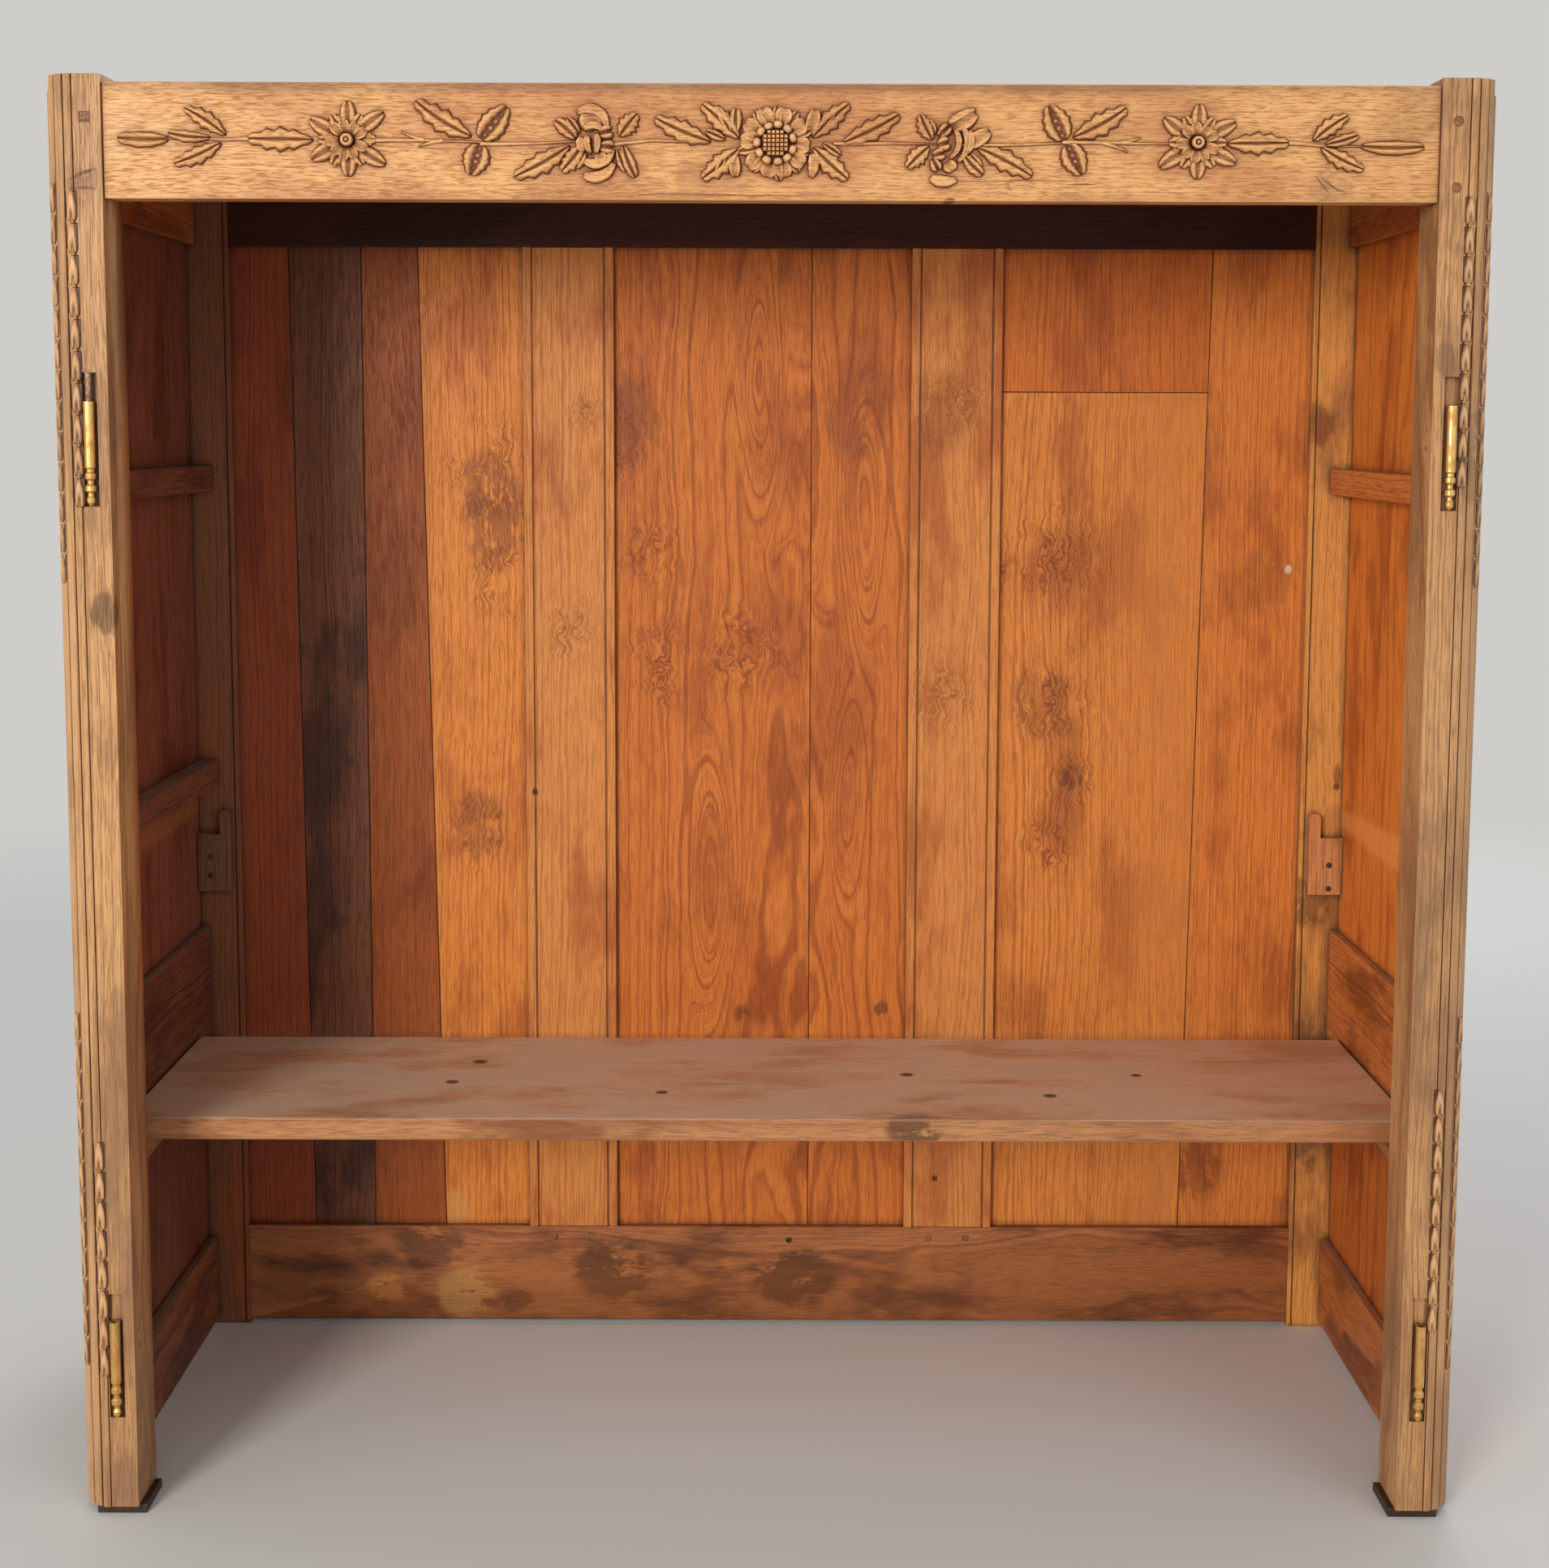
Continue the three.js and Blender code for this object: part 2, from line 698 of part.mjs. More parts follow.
// Hinges, with the one pin that is left and two nails through each leaf
const pinFoot = upperHingeTop - pinBoreDeep + gap;
const pinLong = upperHingeTop + pinShown - gap - pinFoot;
addPiece('hinge_pin', bar('z', pinDiameter, [-hingeX, knuckleY, pinFoot], pinLong), iron);
for (const side of sides) {
  for (const hinge of hinges) {
    hingeHalf(side, hinge);
    nailHeights(hinge).forEach((z, index) => {
      addPiece(`hinge_nail_${hinge.word}_${side.word}_${index + 1}`, hingeNail(side.sign, z, 0), iron);
    });
  }
}

const pegWords = ['left', 'right_upper', 'right_lower'];
frontPegs(pegDiameter, pegSink, pegLong).forEach((peg, index) => {
  addPiece(`front_peg_${pegWords[index]}`, peg, pegOak);
});
backPegs(backPegDiameter, backFront + pegSink, caseDepth - pegSink).forEach((peg, index) => {
  addPiece(`back_peg_${index + 1}`, peg, pegOak);
});

// The middle of the case, hinge knuckles included, stands at zero
cupboard.position.y = -(caseDepth - knuckleProud) / 2;

export default cupboard;
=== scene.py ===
# %% [markdown]
# # An open oak cupboard carcase
#
# The real thing is the body of an old country cupboard: two moulded posts, a carved rail, framed sides, a
# boarded back and one loose shelf. Its doors are gone, and only the fixed halves of their hinges are left.
#
# The solids come ready made from the imported model, in metres, with X to the right, Y to the back and Z up.
# This script only dresses them: it rounds the edges that hands have worn, carves the ornament, drives the
# nails of the cleats, and gives each board its own oak.

# %% Load the imported model
import bpy
import bmesh
import json
import math
import random
from mathutils import Matrix, Vector


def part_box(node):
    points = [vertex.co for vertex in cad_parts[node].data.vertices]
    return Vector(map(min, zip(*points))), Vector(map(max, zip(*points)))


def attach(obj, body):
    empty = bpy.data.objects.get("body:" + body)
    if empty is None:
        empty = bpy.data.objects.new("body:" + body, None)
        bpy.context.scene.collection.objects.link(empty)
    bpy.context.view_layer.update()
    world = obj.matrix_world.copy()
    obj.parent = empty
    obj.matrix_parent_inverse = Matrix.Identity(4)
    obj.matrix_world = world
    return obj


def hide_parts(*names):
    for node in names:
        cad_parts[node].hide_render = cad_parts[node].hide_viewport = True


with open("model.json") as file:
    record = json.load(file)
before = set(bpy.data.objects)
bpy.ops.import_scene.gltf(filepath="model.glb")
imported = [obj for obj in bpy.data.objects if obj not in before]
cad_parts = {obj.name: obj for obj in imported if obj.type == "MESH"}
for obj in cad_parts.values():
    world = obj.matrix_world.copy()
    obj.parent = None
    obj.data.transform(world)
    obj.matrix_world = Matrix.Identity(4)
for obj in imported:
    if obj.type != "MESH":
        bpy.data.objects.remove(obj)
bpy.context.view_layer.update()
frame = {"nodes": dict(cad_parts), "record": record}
scene = bpy.context.scene

# %% [markdown]
# ## The camera
#
# The long straight edges of a cupboard tell where it was seen from. Their vanishing points gave the place,
# the downward tilt and the focal length used here. The picture was cropped off centre, which a shifted lens
# repeats: the shift moves the frame, and the verticals keep their true slant.

# %% Camera
EYE = Vector((0.0045, -2.1168, 1.1158))
TILT_DOWN = math.radians(5.162)
LEAN = math.radians(0.186)
FOCAL_SHARE = 2386.3 / 1932
CROP_SHIFT = -226 / 1932

camera_data = bpy.data.cameras.new("camera")
camera = bpy.data.objects.new("camera", camera_data)
scene.collection.objects.link(camera)
scene.camera = camera
camera_data.sensor_width = 36
camera_data.lens = FOCAL_SHARE * camera_data.sensor_width
camera_data.shift_y = CROP_SHIFT
aim = Matrix.Rotation(math.pi / 2 - TILT_DOWN, 4, "X") @ Matrix.Rotation(LEAN, 4, "Z")
camera.matrix_world = Matrix.Translation(EYE) @ aim
print("lens", round(camera_data.lens, 2), "mm, shift", round(CROP_SHIFT, 3))

# %% [markdown]
# ## Light and floor
#
# A cupboard is a dark box with one open side. Lit from straight ahead it looks flat, and lit from above its
# back goes black. One broad lamp, low and to the left of the viewer, reaches the back boards and still
# leaves the left side in its own shade, as afternoon light does. A weaker one on the right opens the shade,
# and a third one shows the outside of the back to whoever walks round it.

# %% Lamps
LAMPS = {
    "key_lamp": dict(place=(-2.5, -4.8, 2.0), target=(0, 0, 0.75), side=1.5, power=178, colour=(1, 0.96, 0.90)),
    "fill_lamp": dict(place=(2.9, -3.4, 2.3), target=(0, 0, 0.7), side=2.2, power=22, colour=(0.95, 0.97, 1)),
    "rear_lamp": dict(place=(1.6, 3.6, 2.6), target=(0, 0, 0.7), side=2.4, power=60, colour=(1, 1, 1)),
}


def lamp(word, place, target, side, power, colour):
    """A square soft lamp at a place, turned to a target"""
    data = bpy.data.lights.new(word, "AREA")
    data.shape = "SQUARE"
    data.size = side
    data.energy = power
    data.color = colour
    holder = bpy.data.objects.new(word, data)
    holder.location = place
    holder.rotation_euler = (Vector(target) - Vector(place)).to_track_quat("-Z", "Y").to_euler()
    scene.collection.objects.link(holder)


for word, values in LAMPS.items():
    lamp(word, **values)
print(len(LAMPS), "soft lamps")

# %% [markdown]
# ## World
#
# The world does two jobs. The camera and mirror-like surfaces see a bright plain background, and the object
# is lit by a dim one, so that its shadows stay. A Light Path node tells the two kinds of ray apart.

# %% World
ROOM_COLOUR = (0.95, 0.97, 1, 1)
ROOM_STRENGTH = 0.5
BACKDROP_COLOUR = (0.62, 0.61, 0.59, 1)

world = bpy.data.worlds.new("studio")
scene.world = world
world.use_nodes = True
sky = world.node_tree
sky.nodes.clear()
paths = sky.nodes.new("ShaderNodeLightPath")
seen = sky.nodes.new("ShaderNodeMath")
seen.operation = "MAXIMUM"
sky.links.new(paths.outputs["Is Camera Ray"], seen.inputs[0])
sky.links.new(paths.outputs["Is Glossy Ray"], seen.inputs[1])
room = sky.nodes.new("ShaderNodeBackground")
room.inputs["Color"].default_value = ROOM_COLOUR
room.inputs["Strength"].default_value = ROOM_STRENGTH
backdrop = sky.nodes.new("ShaderNodeBackground")
backdrop.inputs["Color"].default_value = BACKDROP_COLOUR
choice = sky.nodes.new("ShaderNodeMixShader")
sky.links.new(seen.outputs[0], choice.inputs[0])
sky.links.new(room.outputs[0], choice.inputs[1])
sky.links.new(backdrop.outputs[0], choice.inputs[2])
ending = sky.nodes.new("ShaderNodeOutputWorld")
sky.links.new(choice.outputs[0], ending.inputs["Surface"])
scene.view_settings.view_transform = "Standard"
print("room light", ROOM_STRENGTH, "and a backdrop of", BACKDROP_COLOUR[:3])

# %% [markdown]
# ## Small helpers for materials
#
# A node material is a net of small steps. A few helpers keep the cells short. The first turns a colour as a
# painter would read it, from 0 to 255, into the linear values that Blender wants. The next adds a node and
# fills its sockets with numbers or with links in one go, and the rest are the steps that come back most.

# %% Colours
def tone(red, green, blue):
    """A colour read from 0 to 255, as linear light"""
    shares = [value / 255 for value in (red, green, blue)]
    linear = [s / 12.92 if s <= 0.04045 else ((s + 0.055) / 1.055) ** 2.4 for s in shares]
    return (*linear, 1)


print("oak red as linear light:", [round(v, 3) for v in tone(190, 105, 55)])


# %% Add a node
def add_node(tree, kind, sockets=None, **settings):
    """A new node with its settings, and its sockets filled with values or with other nodes' outputs"""
    made = tree.nodes.new(kind)
    for word, value in settings.items():
        setattr(made, word, value)
    for socket, value in (sockets or {}).items():
        if isinstance(value, bpy.types.NodeSocket):
            tree.links.new(value, made.inputs[socket])
        else:
            made.inputs[socket].default_value = value
    return made


def numbers(tree, operation, first, second):
    """Two numbers put together by a Math node"""
    return add_node(tree, "ShaderNodeMath", {0: first, 1: second}, operation=operation).outputs[0]


def total(tree, first, second):
    """The sum of two numbers"""
    return numbers(tree, "ADD", first, second)


def product(tree, first, second):
    """The product of two numbers"""
    return numbers(tree, "MULTIPLY", first, second)


def larger(tree, first, second):
    """The larger of two numbers"""
    return numbers(tree, "MAXIMUM", first, second)


print("helpers for numbers ready")


# %% Ease, mix, scale and speckle
def between(tree, value, low, high, at_low=0.0, at_high=1.0):
    """A value eased from one number at low to another at high"""
    sockets = {"Value": value, "From Min": low, "From Max": high, "To Min": at_low, "To Max": at_high}
    return add_node(tree, "ShaderNodeMapRange", sockets, interpolation_type="SMOOTHSTEP").outputs[0]


def blend_colours(tree, share, first, second):
    """Two colours mixed by a share"""
    sockets = {0: share, 6: first, 7: second}
    return add_node(tree, "ShaderNodeMix", sockets, data_type="RGBA").outputs[2]


def laid(tree, colour, share, strength, new_tone):
    """A tone laid over a colour, as strong as a share times a strength"""
    return blend_colours(tree, product(tree, share, strength), colour, tone(*new_tone))


def scaled(tree, place, factors):
    """A place stretched by three factors"""
    return add_node(tree, "ShaderNodeVectorMath", {0: place, 1: factors}, operation="MULTIPLY").outputs[0]


def speckle(tree, place, detail=2.0, roughness=0.5):
    """Soft noise at a place that is already scaled"""
    sockets = {"Vector": place, "Scale": 1.0, "Detail": detail, "Roughness": roughness}
    return add_node(tree, "ShaderNodeTexNoise", sockets)


def new_material(word):
    """An empty material, its node tree and its shader"""
    material = bpy.data.materials.new(word)
    material.use_nodes = True
    return material, material.node_tree, material.node_tree.nodes["Principled BSDF"]


print("helpers for colours and places ready")

# %% [markdown]
# ## Floor
#
# The cupboard stands on a plain pale disc that melts into the background, so that no edge of it shows from
# any side. The distance from its middle fades it out: a transparent shader takes over step by step, and the
# backdrop shows through.

# %% Floor disc
FLOOR_RADIUS = 7.0
FLOOR_TONE = (221, 221, 218)
MELT_START = 2.0
MELT_END = 4.2

bpy.ops.object.select_all(action="DESELECT")
bpy.ops.mesh.primitive_circle_add(vertices=128, radius=FLOOR_RADIUS, fill_type="NGON", location=(0, 0, 0))
floor = bpy.context.object
floor.name = "floor"
floor_finish, tree, pale = new_material("pale_floor")
pale.inputs["Base Color"].default_value = tone(*FLOOR_TONE)
pale.inputs["Roughness"].default_value = 0.9
pale.inputs["Specular IOR Level"].default_value = 0.1
place = add_node(tree, "ShaderNodeTexCoord").outputs["Object"]
distance = add_node(tree, "ShaderNodeVectorMath", {0: place}, operation="LENGTH").outputs["Value"]
far = between(tree, distance, MELT_START, MELT_END)
clear = add_node(tree, "ShaderNodeBsdfTransparent")
melt = add_node(tree, "ShaderNodeMixShader", {0: far, 1: pale.outputs[0], 2: clear.outputs[0]})
tree.links.new(melt.outputs[0], tree.nodes["Material Output"].inputs["Surface"])
floor.data.materials.append(floor_finish)
print("floor disc", FLOOR_RADIUS, "m, gone at", MELT_END, "m")

# %% [markdown]
# ## Oak
#
# Oak has three scales that the eye looks for. Growth rings draw bands and, on a board sawn flat, long
# pointed arches. Open pores draw short dark dashes along the grain. Age adds broad patches, where wax,
# hands and damp have been. All three bend round a knot, and where a tree had a burr they swirl.
#
# A photograph of wood would repeat and could not turn a corner. Here the grain is worked out in space, from
# each point's own place in the room, so it runs through a board and comes out right on its end. The rings
# are the distance from a pith line that lies beside the board, read through noise that makes them uneven.
#
# The first helpers answer one question: how close is this point to a given spot? A spot's nearness is 1 on
# it and fades to 0, and it reaches further along the grain than across it, as every fault in wood does.

# %% Nearness to a spot
AXES = {"X": 0, "Y": 1, "Z": 2}


def along_and_across(along, slow, quick):
    """Three factors: a slow one along the grain and a quick one across it"""
    return [slow if axis == AXES[along] else quick for axis in range(3)]


def nearness(tree, place, spot, along, reach, squeeze=0.6):
    """1 at a spot and 0 beyond its reach, longer along the grain than across it"""
    factors = along_and_across(along, squeeze, 1.0)
    centre = [value * factor for value, factor in zip(spot, factors)]
    sockets = {0: scaled(tree, place, factors), 1: centre}
    gap = add_node(tree, "ShaderNodeVectorMath", sockets, operation="DISTANCE").outputs["Value"]
    return between(tree, gap, 0.0, reach, 1.0, 0.0)


def all_near(tree, place, spots, along, squeeze=0.6):
    """The nearness to the closest of several spots, each given as x, y, z and reach"""
    closest = None
    for x, y, z, reach in spots:
        near = nearness(tree, place, (x, y, z), along, reach, squeeze)
        closest = near if closest is None else larger(tree, closest, near)
    return closest


print("grain along Z stretches a spot by", along_and_across("Z", 0.6, 1.0))

# %% Sway and strokes
STROKE_DEPTH = 0.05
STROKE_FADE = (0.55, 1.1)


def swayed(tree, place, moved, factors, strength):
    """A place pushed about by noise, by a strength in metres"""
    drift = speckle(tree, scaled(tree, moved, factors), 2.0).outputs["Color"]
    push = add_node(tree, "ShaderNodeVectorMath", {0: drift, 1: (0.5, 0.5, 0.5)}, operation="SUBTRACT").outputs[0]
    push = add_node(tree, "ShaderNodeVectorMath", {0: push, "Scale": strength}, operation="SCALE").outputs[0]
    return add_node(tree, "ShaderNodeVectorMath", {0: place, 1: push}).outputs[0]


def stroke_near(tree, place, run, spot, turn, length, width):
    """1 on a thin straight stroke that runs along X or Y, turned from level by degrees, and 0 beside it"""
    axis = (0, 1, 0) if run == "X" else (1, 0, 0)
    sockets = {"Vector": place, "Center": spot, "Axis": axis, "Angle": math.radians(turn)}
    level = add_node(tree, "ShaderNodeVectorRotate", sockets, rotation_type="AXIS_ANGLE").outputs[0]
    shift = add_node(tree, "ShaderNodeVectorMath", {0: level, 1: spot}, operation="SUBTRACT").outputs[0]
    long, through, across = 2 / length, 2 / STROKE_DEPTH, 2 / width
    shaped = scaled(tree, shift, (long, through, across) if run == "X" else (through, long, across))
    away = add_node(tree, "ShaderNodeVectorMath", {0: shaped}, operation="LENGTH").outputs["Value"]
    return between(tree, away, *STROKE_FADE, 1.0, 0.0)


print("strokes fade from", STROKE_FADE[0], "to", STROKE_FADE[1], "of their half length")

# %% [markdown]
# ## What can be told about one board
#
# One set of words describes any board of the cupboard, and a board only says what differs from plain oak.
# Three tones paint it: deep for the pores, middle and light for the rings. The words rings, lines, dashes
# and patches say how strongly each scale shows. Knots, arches, burrs and cracks are spots in the room, marks
# are patches of another tone, strokes are straight marks, and bands are broad stretches that have changed.
# The dirt words say how much dirt and painted shade the corners get, edge how worn the edges are, and dust
# how much dust and painted top light the faces that look up get.

# %% Plain oak
PLAIN_OAK = dict(
    seed=0, along="Z", ruddy=None, ring=0.0026, rings=0.6, lines=0.4, dashes=0.5, dash_run=30, patches=0.7,
    knots=(), arches=(), burrs=(), cracks=(), marks=(), strokes=(), bands=(),
    # dirt darkens corners with dirt and painted shade; dust pales upward faces with dust and painted top light
    corner_dirt_and_shade=0.75, dirt_tone=(60, 38, 27), dirt_and_shade_reach=0.010, dirt_and_shade_span=(0.35, 0.92), carved=0.0,
    edge=0.6, edge_tone=None, dust=0.0, dust_tone=(150, 132, 116),
)
print(len(PLAIN_OAK), "words describe a board")

# %% [markdown]
# ## Rings, pores and clouds
#
# The place of a point is first pushed about: slowly, because no tree grows straight, then quickly, for the
# tremble of the grain, and much more inside a burr. From this bent place come the distance to the pith, and
# from it the rings. Pores are noise pulled long along the grain. The clouds behind the patches are softer
# noise, which is not bent, so that they cross the grain as stains do.

# %% Bend the grain
SLOW_SWAY = (1.8, 6.0, 0.03)
QUICK_SWAY = (8.0, 24.0, 0.006)
BURR_BREAKS = (26, 34)
BURR_EDGE = (0.36, 0.56)
BURR_SWIRL = 48
BURR_PUSH = 0.04


def bent_grain(tree, look, place, moved):
    """The place as the grain bends it, and the share of burr at each point"""
    along = look["along"]
    bent = place
    for slow, quick, strength in (SLOW_SWAY, QUICK_SWAY):
        bent = swayed(tree, bent, moved, along_and_across(along, slow, quick), strength)
    if not look["burrs"]:
        return bent, None
    broken = speckle(tree, scaled(tree, moved, along_and_across(along, *BURR_BREAKS)), 2.0).outputs[0]
    near = all_near(tree, place, look["burrs"], along, 0.8)
    burr = product(tree, near, between(tree, broken, *BURR_EDGE))
    return swayed(tree, bent, moved, (BURR_SWIRL,) * 3, product(tree, burr, BURR_PUSH)), burr


print("sway in metres:", SLOW_SWAY[-1], "slow and", QUICK_SWAY[-1], "quick")

# %% Growth rings
PITH_BESIDE = 0.09
PITH_DRIFT = 0.05
PITH_SLANT = 0.045
KNOT_PUSH = 0.02
ARCH_PUSH = 0.03
ARCH_SQUEEZE = 0.16


def ring_noise(tree, look, draw, place, bent):
    """Uneven growth rings, as a number that swings from ring to ring"""
    along = look["along"]
    pith = [draw.uniform(-PITH_DRIFT, PITH_DRIFT), PITH_BESIDE, draw.uniform(-PITH_DRIFT, PITH_DRIFT)]
    sockets = {"Vector": bent, "Location": pith, "Scale": along_and_across(along, PITH_SLANT, 1.0)}
    squeezed = add_node(tree, "ShaderNodeMapping", sockets).outputs[0]
    radius = add_node(tree, "ShaderNodeVectorMath", {0: squeezed}, operation="LENGTH").outputs["Value"]
    if look["knots"]:
        radius = total(tree, radius, product(tree, all_near(tree, place, look["knots"], along), KNOT_PUSH))
    if look["arches"]:
        hills = all_near(tree, bent, look["arches"], along, ARCH_SQUEEZE)
        radius = total(tree, radius, product(tree, hills, ARCH_PUSH))
    count = product(tree, radius, 1 / look["ring"])
    sockets = {"W": count, "Scale": 1.0, "Detail": 3.0, "Roughness": 0.65}
    return add_node(tree, "ShaderNodeTexNoise", sockets, noise_dimensions="1D").outputs[0]


print("a ring of plain oak is", round(PLAIN_OAK["ring"] * 1000, 1), "mm wide")

# %% Grain of one board
PATTERN_REACH = 9
DASH_FINENESS = 820
CLOUD_SCALE = (5.0, 13.0)


def grain_of(tree, look):
    """All that the colours of one board read from its grain"""
    draw = random.Random(look["seed"])
    along = look["along"]
    place = add_node(tree, "ShaderNodeTexCoord").outputs["Object"]
    # Every board gets its own stretch of the endless pattern
    start = [draw.uniform(-PATTERN_REACH, PATTERN_REACH) for _ in range(3)]
    moved = add_node(tree, "ShaderNodeMapping", {"Vector": place, "Location": start}).outputs[0]
    bent, burr = bent_grain(tree, look, place, moved)
    uneven = ring_noise(tree, look, draw, place, bent)
    dash_factors = along_and_across(along, look["dash_run"], DASH_FINENESS)
    pores = speckle(tree, scaled(tree, bent, dash_factors), 3.0, 0.6).outputs[0]
    cloud = speckle(tree, scaled(tree, moved, along_and_across(along, *CLOUD_SCALE)), 4.0, 0.62).outputs[0]
    normal = add_node(tree, "ShaderNodeNewGeometry").outputs["Normal"]
    facing = add_node(tree, "ShaderNodeSeparateXYZ", {0: normal}).outputs
    return dict(
        place=place, moved=moved, bent=bent, burr=burr, uneven=uneven, pores=pores, cloud=cloud, facing=facing,
        early=between(tree, uneven, 0.36, 0.60), late=between(tree, uneven, 0.55, 0.64),
        open_pores=between(tree, pores, 0.50, 0.64),
    )


print("pores are", DASH_FINENESS // PLAIN_OAK["dash_run"], "times longer than wide")

# %% [markdown]
# ## Colour, in the order of time
#
# The colour is built as age built it. The wood comes first: rings, patches, late wood and pores. Then come
# the faults of the board and the marks laid on it, and last the dirt and painted shade in its joints, the wear
# along its edges, and the dust and painted top light on top. Each step lays one tone over what is there.

# %% Wood
BURR_FIGURE = (0.44, 0.56)


def wood_colour(tree, look, grain):
    """The colour of clean wood"""
    rings = product(tree, grain["early"], look["rings"])
    colour = blend_colours(tree, rings, tone(*look["light"]), tone(*look["middle"]))
    pale_clouds = between(tree, grain["cloud"], 0.50, 0.36)
    ruddy_clouds = between(tree, grain["cloud"], 0.48, 0.64)
    colour = laid(tree, colour, pale_clouds, look["patches"] * 0.6, look["light"])
    colour = laid(tree, colour, ruddy_clouds, look["patches"], look["ruddy"] or look["deep"])
    colour = laid(tree, colour, grain["late"], look["lines"], look["deep"])
    colour = laid(tree, colour, grain["open_pores"], look["dashes"], look["deep"])
    if grain["burr"]:
        figure = product(tree, between(tree, grain["uneven"], *BURR_FIGURE), grain["burr"])
        colour = laid(tree, colour, figure, 0.6, look["deep"])
        colour = laid(tree, colour, grain["burr"], 0.12, look["deep"])
    return colour


print("burr lines are drawn where the ring noise is between", *BURR_FIGURE)

# %% Faults and marks
RAGGED_SCALE = (24, 50)


def marked_colour(tree, look, grain, colour):
    """Patches of another tone, cracks, strokes and changed stretches laid over the wood"""
    along, place, bent = look["along"], grain["place"], grain["bent"]
    ragged = speckle(tree, scaled(tree, grain["moved"], along_and_across(along, *RAGGED_SCALE)), 4.0, 0.7).outputs[0]
    ragged = between(tree, ragged, 0.3, 0.62)
    for x, y, z, reach, strength, mark_tone in look["marks"]:
        near = nearness(tree, place, (x, y, z), along, reach, 0.75)
        share = between(tree, product(tree, near, ragged), 0.06, 0.42)
        colour = laid(tree, colour, share, strength, mark_tone)
    if look["cracks"]:
        split = between(tree, all_near(tree, bent, look["cracks"], along, 0.03), 0.15, 0.5)
        colour = laid(tree, colour, split, 0.85, look["dirt_tone"])
    for run, x, y, z, turn, length, width, strength, stroke_tone in look["strokes"]:
        near = stroke_near(tree, bent, run, (x, y, z), turn, length, width)
        if run == "Y":
            # A mark on a side panel stays on the face that looks into the cupboard
            inward = between(tree, grain["facing"][0], 0.0, -0.5 if x > 0 else 0.5)
            near = product(tree, near, inward)
        colour = laid(tree, colour, near, strength, stroke_tone)
    for axis, start, end, strength, band_tone in look["bands"]:
        apart = add_node(tree, "ShaderNodeSeparateXYZ", {0: place}).outputs[AXES[axis]]
        share = product(tree, between(tree, apart, start, end), between(tree, grain["cloud"], 0.3, 0.6))
        colour = laid(tree, colour, share, strength, band_tone)
    return colour


print("marks, cracks, strokes and bands can be laid on a board")

# %% [markdown]
# ## Dirt, painted shade, wear, painted highlight and dust
#
# An Ambient Occlusion node finds the corners and darkens them: with dirt, which gathers there, and with
# painted shade. Carvings carry a number of their own, their lift, which is 0 in a hollow and 1 on a top:
# hollows get painted shade and dirt, and tops a pale tone that is a painted highlight as well as rubbing. On a
# plain board, a rounded edge is the only place whose normal leaves the three axes, so the normal finds the wear.
# Faces that look up get a pale tone that is dust, and also painted light on the top.

# %% Dirt and painted shade, wear and painted highlight
def rounded_edges(tree, facing):
    """1 where a board's surface turns a corner, and 0 on its flat faces"""
    sides = [add_node(tree, "ShaderNodeMath", {0: part}, operation="ABSOLUTE").outputs[0] for part in facing]
    straight = larger(tree, larger(tree, sides[0], sides[1]), sides[2])
    return between(tree, straight, 0.90, 0.995, 1.0, 0.0)


def worn_and_painted_light_colour(tree, look, grain, colour):
    """Dirt and painted shade in corners and hollows, painted highlight, wear, dust and top light, knot hearts"""
    wear_and_highlight_tone = look["edge_tone"] or look["light"]
    # The corners that the Ambient Occlusion node finds get dirt and painted shade
    sockets = {"Distance": look["dirt_and_shade_reach"]}
    corner = add_node(tree, "ShaderNodeAmbientOcclusion", sockets, samples=4).outputs["AO"]
    colour = laid(tree, colour, between(tree, corner, *look["dirt_and_shade_span"], 1.0, 0.0), look["corner_dirt_and_shade"], look["dirt_tone"])
    if look["carved"]:
        # Carved hollows get painted shade and dirt, and carved tops a painted highlight that also stands for rubbing
        lift = add_node(tree, "ShaderNodeAttribute", attribute_name="lift").outputs["Fac"]
        hollow = between(tree, lift, 0.12, 0.66, 1.0, 0.0)
        colour = laid(tree, colour, hollow, look["carved"], look["dirt_tone"])
        colour = laid(tree, colour, between(tree, lift, 0.7, 0.98), 0.5, wear_and_highlight_tone)
    elif look["edge"]:
        patchy = between(tree, grain["cloud"], 0.38, 0.6, 1.0, 0.5)
        share = product(tree, rounded_edges(tree, grain["facing"]), patchy)
        colour = laid(tree, colour, share, look["edge"], wear_and_highlight_tone)
    if look["dust"]:
        # Faces that look up get a pale tone: dust, and painted light on the top
        upward = between(tree, grain["facing"][2], 0.6, 0.95)
        thin = between(tree, grain["cloud"], 0.36, 0.58, 0.35, 1.0)
        colour = laid(tree, colour, product(tree, upward, thin), look["dust"], look["dust_tone"])
    if look["knots"]:
        hearts = [(x, y, z, reach * 0.45) for x, y, z, reach in look["knots"]]
        dark = between(tree, all_near(tree, grain["place"], hearts, look["along"], 0.8), 0.05, 0.5)
        colour = laid(tree, colour, dark, 0.9, look["dirt_tone"])
    return colour


print("dirt of plain oak reaches", round(PLAIN_OAK["dirt_and_shade_reach"] * 1000), "mm out of a corner")

# %% [markdown]
# ## The finish of one board
#
# The finish puts the steps together. Waxed oak has a low, uneven sheen, duller in its pores, so the noise of
# the pores drives the roughness too. Early wood swells a little and pores are sunk, which a Bump node feels
# at four tenths of a millimetre.

# %% Oak finish
SHEEN = (0.43, 0.63)
OAK_GLINT = 0.3
GRAIN_RELIEF = 0.0004
GRAIN_STRENGTH = 0.55


